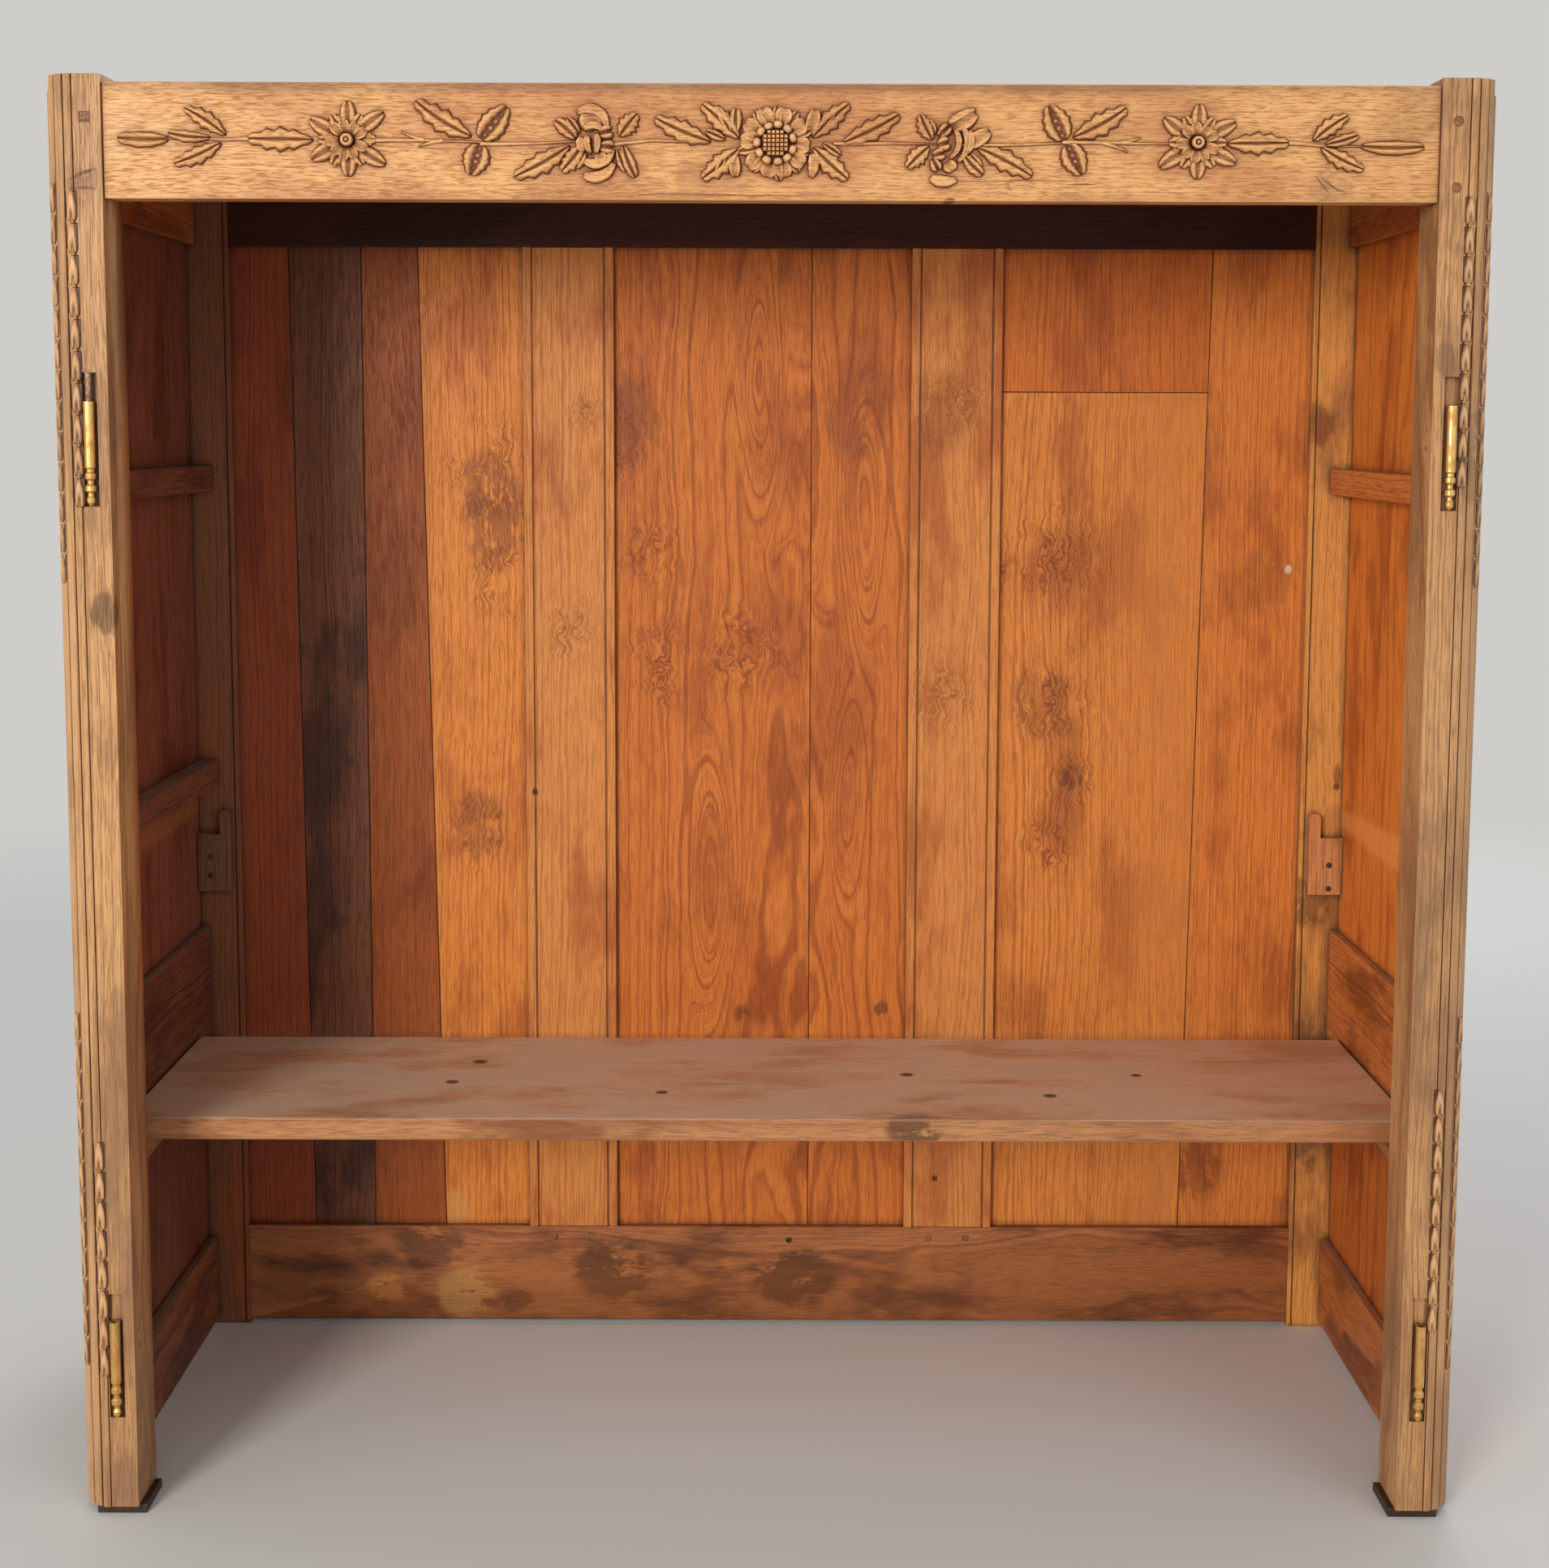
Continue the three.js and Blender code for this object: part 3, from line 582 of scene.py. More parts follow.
def oak(word, **changes):
    """The finish of one board, with its own grain and its own faults"""
    look = {**PLAIN_OAK, **changes}
    material, tree, shader = new_material(word)
    grain = grain_of(tree, look)
    colour = wood_colour(tree, look, grain)
    colour = marked_colour(tree, look, grain, colour)
    colour = worn_and_painted_light_colour(tree, look, grain, colour)
    tree.links.new(colour, shader.inputs["Base Color"])
    tree.links.new(between(tree, grain["pores"], 0.4, 0.7, *SHEEN), shader.inputs["Roughness"])
    shader.inputs["Specular IOR Level"].default_value = OAK_GLINT
    relief = numbers(tree, "SUBTRACT", product(tree, grain["early"], 0.25), grain["open_pores"])
    sockets = {"Height": relief, "Strength": GRAIN_STRENGTH, "Distance": GRAIN_RELIEF}
    tree.links.new(add_node(tree, "ShaderNodeBump", sockets).outputs[0], shader.inputs["Normal"])
    return material


print("oak finish ready, roughness from", SHEEN[0], "to", SHEEN[1])

# %% [markdown]
# ## Rounded edges
#
# No edge on an old cupboard is sharp. Hands, cloths and knocks round each one by a millimetre or so, and
# that narrow strip catches the light. Each board is therefore a copy of its solid. The copy is welded first,
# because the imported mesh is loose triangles. Then its long edges are picked by their length and angle, and
# bevelled. Short edges stay as they are, because rounding them would eat the small joints.

# %% Copy a solid with its edges eased
LOOSE = 1e-5
FLAT = math.radians(0.5)
SHARP = math.radians(50)
SHORTEST_EDGE = 0.02
pieces_made = []


def select_only(piece):
    """Makes one object the selected and active one"""
    bpy.ops.object.select_all(action="DESELECT")
    piece.select_set(True)
    bpy.context.view_layer.objects.active = piece


def eased_copy(node, word, width):
    """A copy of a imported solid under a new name, with its long sharp edges rounded"""
    piece = bpy.data.objects.new(word, frame["nodes"][node].data.copy())
    scene.collection.objects.link(piece)
    piece.data.materials.clear()
    select_only(piece)
    bpy.ops.object.mode_set(mode="EDIT")
    bpy.ops.mesh.select_mode(type="EDGE")
    bpy.ops.mesh.select_all(action="SELECT")
    bpy.ops.mesh.remove_doubles(threshold=LOOSE)
    bpy.ops.mesh.dissolve_limited(angle_limit=FLAT)
    bpy.ops.mesh.select_all(action="DESELECT")
    shape = bmesh.from_edit_mesh(piece.data)
    for edge in shape.edges:
        if len(edge.link_faces) != 2 or edge.calc_length() < SHORTEST_EDGE:
            continue
        if edge.calc_face_angle_signed(0) > SHARP:
            edge.select_set(True)
    shape.select_flush_mode()
    bmesh.update_edit_mesh(piece.data)
    bpy.ops.mesh.bevel(offset=width, segments=2, profile=0.5, affect="EDGES", clamp_overlap=True)
    bpy.ops.object.mode_set(mode="OBJECT")
    pieces_made.append(piece)
    return piece


print("edges longer than", SHORTEST_EDGE, "m are eased")

# %% [markdown]
# ## Which piece gets which oak
#
# The imported record names a finish slot for every solid. A table gives each slot its three tones and the run
# of its grain. Further tables change single boards: they hold the places of knots, burrs and stains, the tones
# of the boards that were cut from another tree, and the darker or lighter tones of pieces that carry painted
# shade or painted light. Places are in metres, in the shared frame.

# %% Finishes of the front
SLOT_OAK = {
    "honey_oak": dict(
        deep=(112, 76, 48), middle=(184, 130, 82), light=(212, 160, 106), ruddy=(150, 108, 74),
        dirt_tone=(84, 54, 34), edge_tone=(208, 160, 112), dirt_and_shade_reach=0.006,
    ),
    "rail_oak": dict(
        deep=(146, 86, 46), middle=(210, 148, 90), light=(234, 176, 114), ruddy=(200, 134, 86), along="X",
        # The rail's wide corner darkening is dirt and also painted shade round the carving
        dirt_tone=(122, 66, 38), corner_dirt_and_shade=0.9, dirt_and_shade_reach=0.014, dirt_and_shade_span=(0.55, 0.985), rings=0.32, lines=0.28,
        dashes=0.62, dash_run=70,
    ),
    "foot_oak": dict(deep=(40, 28, 22), middle=(62, 44, 34), light=(80, 60, 46)),
    "peg_oak": dict(
        deep=(96, 58, 34), middle=(140, 92, 56), light=(162, 110, 70), along="Y", corner_dirt_and_shade=0.6,
        edge_tone=(74, 46, 30), edge=0.9,
    ),
}
print("front finishes:", ", ".join(SLOT_OAK))

# %% Finishes of the inside and the sides
SLOT_OAK |= {
    "back_frame_oak": dict(
        deep=(140, 72, 32), middle=(208, 122, 56), light=(222, 144, 76), ruddy=(176, 90, 42), edge=0.3,
        rings=0.45, lines=0.26, dashes=0.36,
    ),
    "back_board": dict(
        deep=(120, 52, 22), middle=(194, 98, 36), light=(216, 124, 52), ruddy=(152, 70, 34),
        edge_tone=(46, 22, 12), edge=0.9, rings=0.42, lines=0.26, dashes=0.36, patches=0.5,
    ),
    # The dark board's tones are partly its own darker oak and partly painted shade of the left post
    "back_board_dark": dict(
        deep=(60, 36, 26), middle=(114, 64, 40), light=(138, 84, 56), edge_tone=(36, 20, 12), edge=0.9,
    ),
    "side_oak": dict(deep=(110, 56, 28), middle=(176, 98, 46), light=(200, 122, 64), along="Y", dust=0.6),
    "side_panel": dict(
        deep=(112, 50, 22), middle=(178, 90, 36), light=(204, 114, 50), ruddy=(140, 62, 28), rings=0.36,
        lines=0.26, dashes=0.36,
    ),
    "top_board": dict(deep=(110, 76, 52), middle=(158, 112, 76), light=(178, 132, 94), along="X"),
    "bearer_wood": dict(deep=(96, 60, 40), middle=(160, 104, 64), light=(184, 128, 84), along="Y", dust=0.7),
    # The shelf's pale, strong dust tone is partly dust and partly painted light on its top face
    "shelf_plank": dict(
        deep=(116, 68, 40), middle=(170, 110, 68), light=(194, 136, 90), ruddy=(144, 86, 54), along="X",
        dirt_tone=(78, 48, 34), ring=0.006, dust=0.62, dust_tone=(232, 206, 178), edge_tone=(178, 126, 90),
        patches=0.9,
    ),
}
print(len(SLOT_OAK), "oak finishes in all")

# %% Faults of the posts and the carved rail
POST_FRONT = -0.22405
RAIL_FACE = -0.22105
GREY_BROWN = (146, 108, 80)
DARK_STAIN = (70, 42, 28)
ROSY = (206, 140, 96)
KNOT_BROWN = (112, 74, 50)
SCRATCH = (134, 78, 46)

BOARD_OAK = {
    "front_post_left": dict(
        marks=[
            (-0.664, POST_FRONT, 1.345, 0.022, 0.5, (140, 90, 58)),
            (-0.652, POST_FRONT, 0.93, 0.024, 0.6, DARK_STAIN),
        ],
        # The first three strokes draw the joint of an old repair
        strokes=[
            ("X", -0.664, POST_FRONT, 1.3525, 18, 0.034, 0.0045, 0.95, (80, 44, 26)),
            ("X", -0.664, POST_FRONT, 1.3390, -3, 0.036, 0.0036, 0.85, (104, 62, 38)),
            ("X", -0.668, POST_FRONT, 1.3460, 6, 0.030, 0.010, 0.45, (134, 88, 58)),
            ("X", -0.672, POST_FRONT, 1.4435, 10, 0.007, 0.005, 0.6, (140, 84, 50)),
        ],
        # The bands grey and darken stretches of the post: partly weathering, partly painted shade
        bands=[("Z", 1.02, 1.12, 0.35, GREY_BROWN), ("Z", 0.62, 0.3, 0.55, GREY_BROWN)],
    ),
    "front_post_right": dict(
        marks=[
            (0.684, POST_FRONT + 0.003, 1.10, 0.045, 0.8, (96, 76, 62)),
            (0.690, POST_FRONT + 0.008, 1.07, 0.035, 0.7, (78, 56, 44)),
            (0.655, POST_FRONT, 1.18, 0.02, 0.5, (120, 84, 60)),
        ],
        # The bands grey and darken stretches of the post: partly weathering, partly painted shade
        bands=[("Z", 0.62, 0.3, 0.5, (152, 102, 66)), ("Z", 1.12, 1.0, 0.3, GREY_BROWN)],
    ),
    "front_top_rail": dict(
        marks=[
            (0.230, RAIL_FACE, 1.347, 0.007, 0.6, (134, 80, 48)),
            (0.625, RAIL_FACE, 1.41, 0.05, 0.3, (140, 96, 68)), (0.538, RAIL_FACE, 1.348, 0.026, 0.4, (150, 108, 78)),
            (0.0, RAIL_FACE, 1.386, 0.12, 0.2, ROSY), (-0.17, RAIL_FACE, 1.386, 0.08, 0.2, ROSY),
            (0.17, RAIL_FACE, 1.386, 0.09, 0.2, ROSY), (0.41, RAIL_FACE, 1.388, 0.07, 0.2, ROSY),
            (-0.06, RAIL_FACE, 1.345, 0.04, 0.3, (170, 112, 70)), (-0.62, RAIL_FACE, 1.40, 0.05, 0.3, (240, 196, 140)),
        ],
        cracks=[
            (0.535, RAIL_FACE, 1.35, 0.0016), (-0.47, RAIL_FACE, 1.341, 0.0014), (0.30, RAIL_FACE, 1.352, 0.0013),
        ],
        bands=[("Z", 1.428, 1.440, 0.8, (146, 100, 70)), ("Z", 1.342, 1.332, 0.45, (166, 116, 80))],
        # The first three strokes fan out from a knot
        strokes=[
            ("X", 0.532, RAIL_FACE, 1.350, -52, 0.024, 0.0022, 0.8, KNOT_BROWN),
            ("X", 0.540, RAIL_FACE, 1.350, -38, 0.026, 0.002, 0.8, KNOT_BROWN),
            ("X", 0.546, RAIL_FACE, 1.346, -24, 0.024, 0.002, 0.7, KNOT_BROWN),
            ("X", -0.05, RAIL_FACE, 1.3395, 1, 0.22, 0.0024, 0.7, SCRATCH),
            ("X", 0.171, RAIL_FACE, 1.3375, 8, 0.013, 0.007, 0.9, (96, 52, 30)),
            ("X", 0.24, RAIL_FACE, 1.3555, 0, 0.16, 0.0016, 0.7, SCRATCH),
        ],
    ),
}
print(sum(len(faults["strokes"]) for faults in BOARD_OAK.values() if "strokes" in faults), "strokes on the front")

# %% Faults of the frame of the back
FRAME_FACE = 0.20595
# A soft darker brown for broad darker patches on the back
SOFT_DARK_PATCH = (122, 62, 34)
AMBER = (226, 150, 74)

BOARD_OAK |= {
    "back_bottom_rail": dict(
        deep=(70, 42, 30), middle=(146, 86, 54), light=(184, 114, 66), ruddy=(104, 60, 38), along="X",
        patches=0.85,
        marks=[
            (-0.19, FRAME_FACE, 0.07, 0.06, 0.7, DARK_STAIN), (0.03, FRAME_FACE, 0.06, 0.06, 0.75, DARK_STAIN),
            (-0.42, FRAME_FACE, 0.10, 0.05, 0.6, DARK_STAIN), (-0.475, FRAME_FACE, 0.045, 0.03, 0.6, AMBER),
            (-0.37, FRAME_FACE, 0.04, 0.05, 0.6, (216, 160, 96)), (-0.32, FRAME_FACE, 0.03, 0.03, 0.6, DARK_STAIN),
        ],
    ),
    # The back's top rail is painted nearly black: the painted shadow of the front rail
    "back_top_rail": dict(deep=(36, 15, 9), middle=(60, 24, 13), light=(74, 31, 18), ruddy=(44, 18, 11), along="X"),
    # The left stile is darker than the right one: painted shade of the left post
    "rear_stile_left": dict(deep=(80, 46, 30), middle=(126, 76, 50), light=(148, 94, 62)),
    "rear_stile_right": dict(
        deep=(120, 72, 34), middle=(218, 140, 64), light=(234, 164, 86), ruddy=(158, 102, 58), patches=0.8,
        marks=[
            (0.66, FRAME_FACE, 0.54, 0.04, 0.6, DARK_STAIN), (0.655, FRAME_FACE, 1.12, 0.03, 0.6, SOFT_DARK_PATCH),
            (0.655, FRAME_FACE, 0.30, 0.12, 0.6, (110, 72, 50)),
        ],
        # The strokes draw a worn slot above the cleat
        strokes=[
            ("X", 0.685, FRAME_FACE, 0.694, 90, 0.034, 0.011, 0.65, (122, 74, 36)),
            ("X", 0.684, FRAME_FACE, 0.681, 90, 0.010, 0.010, 0.7, (84, 46, 24)),
            ("X", 0.684, FRAME_FACE, 0.640, 90, 0.050, 0.030, 0.5, (176, 116, 76)),
        ],
    ),
    "back_muntin_left": dict(
        burrs=[(-0.2447, FRAME_FACE, 0.875, 0.05), (-0.22, FRAME_FACE, 1.13, 0.03)],
        marks=[(-0.2857, FRAME_FACE, 0.671, 0.006, 0.95, DARK_STAIN)],
    ),
    "back_muntin_right": dict(
        burrs=[(0.2233, FRAME_FACE, 1.15, 0.06), (0.2078, FRAME_FACE, 0.797, 0.06)],
        marks=[(0.205, FRAME_FACE, 0.19, 0.006, 0.9, DARK_STAIN), (0.2, FRAME_FACE, 1.13, 0.06, 0.35, SOFT_DARK_PATCH)],
    ),
}
print(len(BOARD_OAK), "pieces with faults so far")

# %% Faults of the boards of the back
BOARD_FACE = 0.21395

BOARD_OAK |= {
    # The first and third boards from the left are darker than their slot: partly their own oak, partly painted shade of
    # the left post
    "back_board_left_1": dict(
        deep=(84, 36, 20), middle=(142, 64, 36), light=(168, 82, 46), ruddy=(110, 46, 28), edge_tone=(36, 18, 10),
    ),
    "back_board_left_3": dict(deep=(92, 42, 20), middle=(146, 70, 30), light=(174, 92, 40), ruddy=(116, 54, 28)),
    "back_board_left_4": dict(
        middle=(206, 110, 42), light=(230, 142, 62), ruddy=(176, 84, 38), patches=0.6,
        burrs=[(-0.341, BOARD_FACE, 1.06, 0.07), (-0.36, BOARD_FACE, 0.62, 0.06), (-0.33, BOARD_FACE, 0.93, 0.06)],
        marks=[
            (-0.33, BOARD_FACE, 1.0, 0.065, 0.55, SOFT_DARK_PATCH), (-0.345, BOARD_FACE, 1.04, 0.05, 0.4, SOFT_DARK_PATCH),
            (-0.40, BOARD_FACE, 0.144, 0.04, 0.6, (214, 150, 88)), (-0.36, BOARD_FACE, 0.63, 0.05, 0.4, SOFT_DARK_PATCH),
        ],
    ),
    "back_board_centre_1": dict(
        middle=(184, 90, 34), rings=0.5, lines=0.36,
        arches=[(-0.012, BOARD_FACE, 1.165, 0.035), (-0.07, BOARD_FACE, 0.55, 0.04)],
        burrs=[
            (-0.0385, BOARD_FACE, 0.846, 0.06), (-0.14, BOARD_FACE, 0.83, 0.06), (-0.19, BOARD_FACE, 1.1, 0.06),
            (-0.15, BOARD_FACE, 0.96, 0.05),
        ],
        marks=[(-0.18, BOARD_FACE, 1.12, 0.07, 0.5, SOFT_DARK_PATCH), (-0.033, BOARD_FACE, 0.393, 0.015, 0.6, DARK_STAIN)],
    ),
    "back_board_centre_2": dict(
        middle=(184, 90, 34), rings=0.5, lines=0.36,
        arches=[(0.11, BOARD_FACE, 1.0, 0.035), (0.09, BOARD_FACE, 0.66, 0.03)],
        marks=[(0.137, BOARD_FACE, 0.4, 0.014, 0.6, DARK_STAIN), (0.10, BOARD_FACE, 1.14, 0.07, 0.35, SOFT_DARK_PATCH)],
    ),
    "back_board_right_1_upper": dict(middle=(188, 94, 34), light=(214, 120, 48)),
    "back_board_right_1_lower": dict(
        middle=(196, 104, 40), light=(230, 144, 66),
        burrs=[
            (0.343, BOARD_FACE, 0.965, 0.08), (0.346, BOARD_FACE, 0.788, 0.07), (0.367, BOARD_FACE, 0.688, 0.05),
            (0.339, BOARD_FACE, 0.607, 0.05), (0.27, BOARD_FACE, 0.95, 0.05),
        ],
        marks=[(0.367, BOARD_FACE, 0.688, 0.022, 0.5, DARK_STAIN), (0.33, BOARD_FACE, 0.78, 0.06, 0.35, SOFT_DARK_PATCH)],
        bands=[("X", 0.40, 0.48, 0.5, (230, 146, 72))],
    ),
    "back_board_right_2": dict(
        middle=(204, 106, 42), light=(232, 142, 64),
        marks=[
            (0.53, BOARD_FACE, 0.2, 0.05, 0.6, SOFT_DARK_PATCH), (0.624, BOARD_FACE, 0.945, 0.007, 0.95, (240, 226, 196)),
            (0.60, BOARD_FACE, 0.93, 0.05, 0.35, SOFT_DARK_PATCH),
        ],
    ),
}
print(len(BOARD_OAK), "pieces with faults so far")

# %% Faults of the sides
PANEL_FACE = 0.6945
# LIGHTER_OUTSIDE gives the outer face of the left panels a lighter tone, without the painted shade of their inside
LIGHTER_OUTSIDE = ("X", -0.6965, -0.6995, 0.55, (178, 104, 50))

BOARD_OAK |= {
    # The pieces of the left side are darker than their slots: painted shade, as the left side turns from the light
    "side_panel_upper_left": dict(
        deep=(70, 34, 24), middle=(124, 68, 48), light=(142, 84, 60), ruddy=(92, 44, 32), bands=[LIGHTER_OUTSIDE],
        strokes=[("Y", -PANEL_FACE, -0.02, 0.66, 0, 0.60, 0.04, 0.6, (170, 108, 62))],
    ),
    "side_panel_lower_left": dict(
        deep=(66, 34, 24), middle=(118, 66, 48), light=(136, 80, 60), ruddy=(88, 44, 32), bands=[LIGHTER_OUTSIDE],
    ),
    "side_middle_rail_left": dict(deep=(56, 34, 26), middle=(112, 66, 46), light=(134, 84, 60), ruddy=(80, 44, 32)),
    "side_bottom_rail_left": dict(deep=(56, 34, 26), middle=(124, 72, 46), light=(150, 92, 60), ruddy=(86, 48, 34)),
    "bearer_upper_left": dict(deep=(60, 34, 26), middle=(116, 68, 48), light=(136, 84, 60), ruddy=(84, 46, 34)),
    "bearer_middle_left": dict(deep=(60, 36, 28), middle=(118, 70, 52), light=(138, 86, 64), ruddy=(88, 48, 36)),
    "notched_cleat_left": dict(deep=(64, 40, 28), middle=(118, 76, 54), light=(138, 92, 68), ruddy=(92, 56, 40)),
    # The pieces of the right side are lighter than their slots: painted light, as the right side faces the light
    # The stroke is the pale patch that a lost bearer left
    "side_panel_upper_right": dict(
        middle=(210, 114, 42), light=(232, 140, 60), ruddy=(164, 80, 34),
        strokes=[("Y", PANEL_FACE, -0.02, 0.645, 0, 0.60, 0.046, 0.8, (240, 160, 84))],
    ),
    "side_middle_rail_right": dict(middle=(196, 112, 52), light=(214, 134, 70)),
    "bearer_upper_right": dict(deep=(130, 70, 34), middle=(200, 112, 50), light=(216, 134, 70), dust=0.4),
    "notched_cleat_right": dict(deep=(130, 76, 44), middle=(206, 132, 78), light=(222, 152, 98), dust=0.3),
}
print(len(BOARD_OAK), "pieces with faults so far")

# %% Faults of the shelf
SHELF_TOP = 0.384

BOARD_OAK["shelf"] = dict(
    knots=[
        (-0.333, 0.06, SHELF_TOP, 0.022), (-0.354, -0.009, SHELF_TOP, 0.020), (-0.118, -0.041, SHELF_TOP, 0.018),
        (0.156, 0.02, SHELF_TOP, 0.020), (0.309, -0.048, SHELF_TOP, 0.020), (0.416, 0.02, SHELF_TOP, 0.016),
    ],
    marks=[(0.156, -0.124, 0.375, 0.035, 0.7, DARK_STAIN)],
    cracks=[(-0.185, 0.034, SHELF_TOP, 0.0016), (0.3, 0.06, SHELF_TOP, 0.0012)],
    bands=[("X", 0.35, 0.60, 0.5, (190, 124, 84))],
)
print(len(BOARD_OAK["shelf"]["knots"]), "knots in the shelf")

# %% [markdown]
# ## Laying the oak on
#
# Every wooden solid now gets its eased copy and its own material. The boards of the back stand a hair apart
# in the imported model, and light would shine through the gaps, so each copy is widened by its share of the
# gap. The copy rides with the body of its solid and takes its place.

# %% The oak of one solid
slot_of = {part["node"]: part["material_slot"] for part in frame["record"]["subparts"]}


def recipe(node):
    """What is told about one solid: its slot's words, changed by its own faults"""
    values = dict(SLOT_OAK[slot_of[node]])
    if node.startswith("notched_cleat"):
        values["along"] = "Z"
    values.update(BOARD_OAK.get(node, {}))
    return values


print(len(slot_of), "solids in", len(set(slot_of.values())), "finish slots")

# %% Close the joints of the back
JOINT_GAP = 0.0003


def close_joint(piece):
    """Widens a board by its share of the joint round it, so that no light shows between boards"""
    corners = [Vector(corner) for corner in piece.bound_box]
    low, high = corners[0], corners[6]
    middle = (low + high) / 2
    size = high - low
    grow = Matrix.Diagonal((1 + JOINT_GAP / size.x, 1, 1 + JOINT_GAP / size.z, 1))
    piece.data.transform(Matrix.Translation(middle) @ grow @ Matrix.Translation(-middle))


print("joints closed by", JOINT_GAP * 1000, "mm")

# %% Ease the edges and lay the oak on
PLAIN_EASE = 0.001
EASE = {
    "honey_oak": 0.0016, "rail_oak": 0.0012, "shelf_plank": 0.002, "back_board": 0.0009, "back_board_dark": 0.0009,
}

for seed, node in enumerate(sorted(slot_of)):
    slot = slot_of[node]
    if slot not in SLOT_OAK:
        continue
    piece = eased_copy(node, node + "_eased", EASE.get(slot, PLAIN_EASE))
    if node.startswith("back_board"):
        close_joint(piece)
    piece.data.materials.append(oak(node + "_oak", seed=seed, **recipe(node)))
    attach(piece, "loose_shelf" if node == "shelf" else "carcase")
    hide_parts(node)
print(len(pieces_made), "wooden pieces eased")

# %% [markdown]
# ## Old metal
#
# The hinge halves are cast brass. Brass turns brown where nobody touches it and stays bright where it rubs,
# so its colour runs between the two by noise, and grime fills its corners. The brown and the grimy parts are
# duller. The pin and the nails are iron: dark, pitted and hardly metallic any more, because rust isn't metal.

# %% Old metal finish
GRIME = (88, 62, 38)
GRIME_REACH = 0.005
DULLING = 0.25


def old_metal(word, bright, dull, roughness, grain, depth, metallic=1.0):
    """A metal that is bright in patches and dull between them"""
    material, tree, shader = new_material(word)
    place = add_node(tree, "ShaderNodeTexCoord").outputs["Object"]
    patches = speckle(tree, scaled(tree, place, (grain, grain, grain * 0.6)), 4.0, 0.65).outputs[0]
    tarnish = between(tree, patches, 0.40, 0.62)
    corner = add_node(tree, "ShaderNodeAmbientOcclusion", {"Distance": GRIME_REACH}, samples=4).outputs["AO"]
    grime = between(tree, corner, 0.35, 0.95, 1.0, 0.0)
    metal = blend_colours(tree, tarnish, tone(*bright), tone(*dull))
    tree.links.new(blend_colours(tree, grime, metal, tone(*GRIME)), shader.inputs["Base Color"])
    share = larger(tree, tarnish, grime)
    tree.links.new(between(tree, share, 0, 1, roughness, roughness + DULLING), shader.inputs["Roughness"])
    shader.inputs["Metallic"].default_value = metallic
    bump = add_node(tree, "ShaderNodeBump", {"Height": patches, "Strength": 0.5, "Distance": depth})
    tree.links.new(bump.outputs[0], shader.inputs["Normal"])
    return material


METALS = {
    "hinge_brass": old_metal("hinge_brass_finish", (242, 196, 122), (208, 160, 96), 0.34, 70, 0.0002),
    "iron": old_metal("iron_finish", (180, 142, 116), (126, 94, 74), 0.5, 300, 0.0004, 0.3),
}
for node, slot in slot_of.items():
    if slot in METALS:
        frame["nodes"][node].material_slots[0].material = METALS[slot]
print("metal on", sum(slot in METALS for slot in slot_of.values()), "solids")

# %% [markdown]
# ## Nails of the cleats
#
# Two forged nails hold each cleat. Only their heads show: thin discs, hammered flat with a slightly raised
# middle. A short cylinder with one inset on its front face is enough at this size.

# %% Cleat nails
NAIL_RADIUS = 0.0034
NAIL_RISE = 0.0016
NAIL_ACROSS = 0.678
NAIL_HEIGHTS = {"left": {"upper": 0.593, "lower": 0.570}, "right": {"upper": 0.587, "lower": 0.558}}


def nail_head(word, spot):
    """A flat forged nail head on the front of a cleat"""
    bpy.ops.object.select_all(action="DESELECT")
    bpy.ops.mesh.primitive_cylinder_add(vertices=8, radius=NAIL_RADIUS, depth=NAIL_RISE, end_fill_type="NGON")
    nail = bpy.context.object
    nail.name = word
    bpy.ops.object.mode_set(mode="EDIT")
    bpy.ops.mesh.select_mode(type="FACE")
    bpy.ops.mesh.select_all(action="DESELECT")
    shape = bmesh.from_edit_mesh(nail.data)
    for face in shape.faces:
        face.select_set(face.normal.z > 0.9)
    bmesh.update_edit_mesh(nail.data)
    bpy.ops.mesh.inset(thickness=0.0012, depth=0.0006)
    bpy.ops.object.mode_set(mode="OBJECT")
    nail.data.transform(Matrix.Translation(spot) @ Matrix.Rotation(math.pi / 2, 4, "X"))
    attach(nail, "carcase")
    return nail


nail_finish = old_metal("nail_finish", (84, 56, 42), (56, 38, 30), 0.6, 300, 0.0004, 0.1)
for side, heights in NAIL_HEIGHTS.items():
    low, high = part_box("notched_cleat_" + side)
    across = NAIL_ACROSS if side == "right" else -NAIL_ACROSS
    for place_word, height in heights.items():
        nail = nail_head(f"cleat_nail_{side}_{place_word}", (across, low[1], height))
        nail.data.materials.append(nail_finish)
print("nail heads", round(NAIL_RADIUS * 2000, 1), "mm wide, the last one at", [round(v, 4) for v in (across, low[1])])

# %% [markdown]
# ## Carving tools
#
# The garland on the rail and the husks on the posts are cut in the solid oak. Every leaf, petal and bud is
# the same idea: a flat strip that widens and narrows from root to tip, with steep sides and a swelling
# section. So one tool models such a strip flat on the bench, from a grid, by widening and lifting its rows.
# A section says how high the strip stands at each place across it, as shares of its width and of its height:
# two lobes with a furrow between them for a leaf, a hollow for a cupped petal, a dome for a bead.

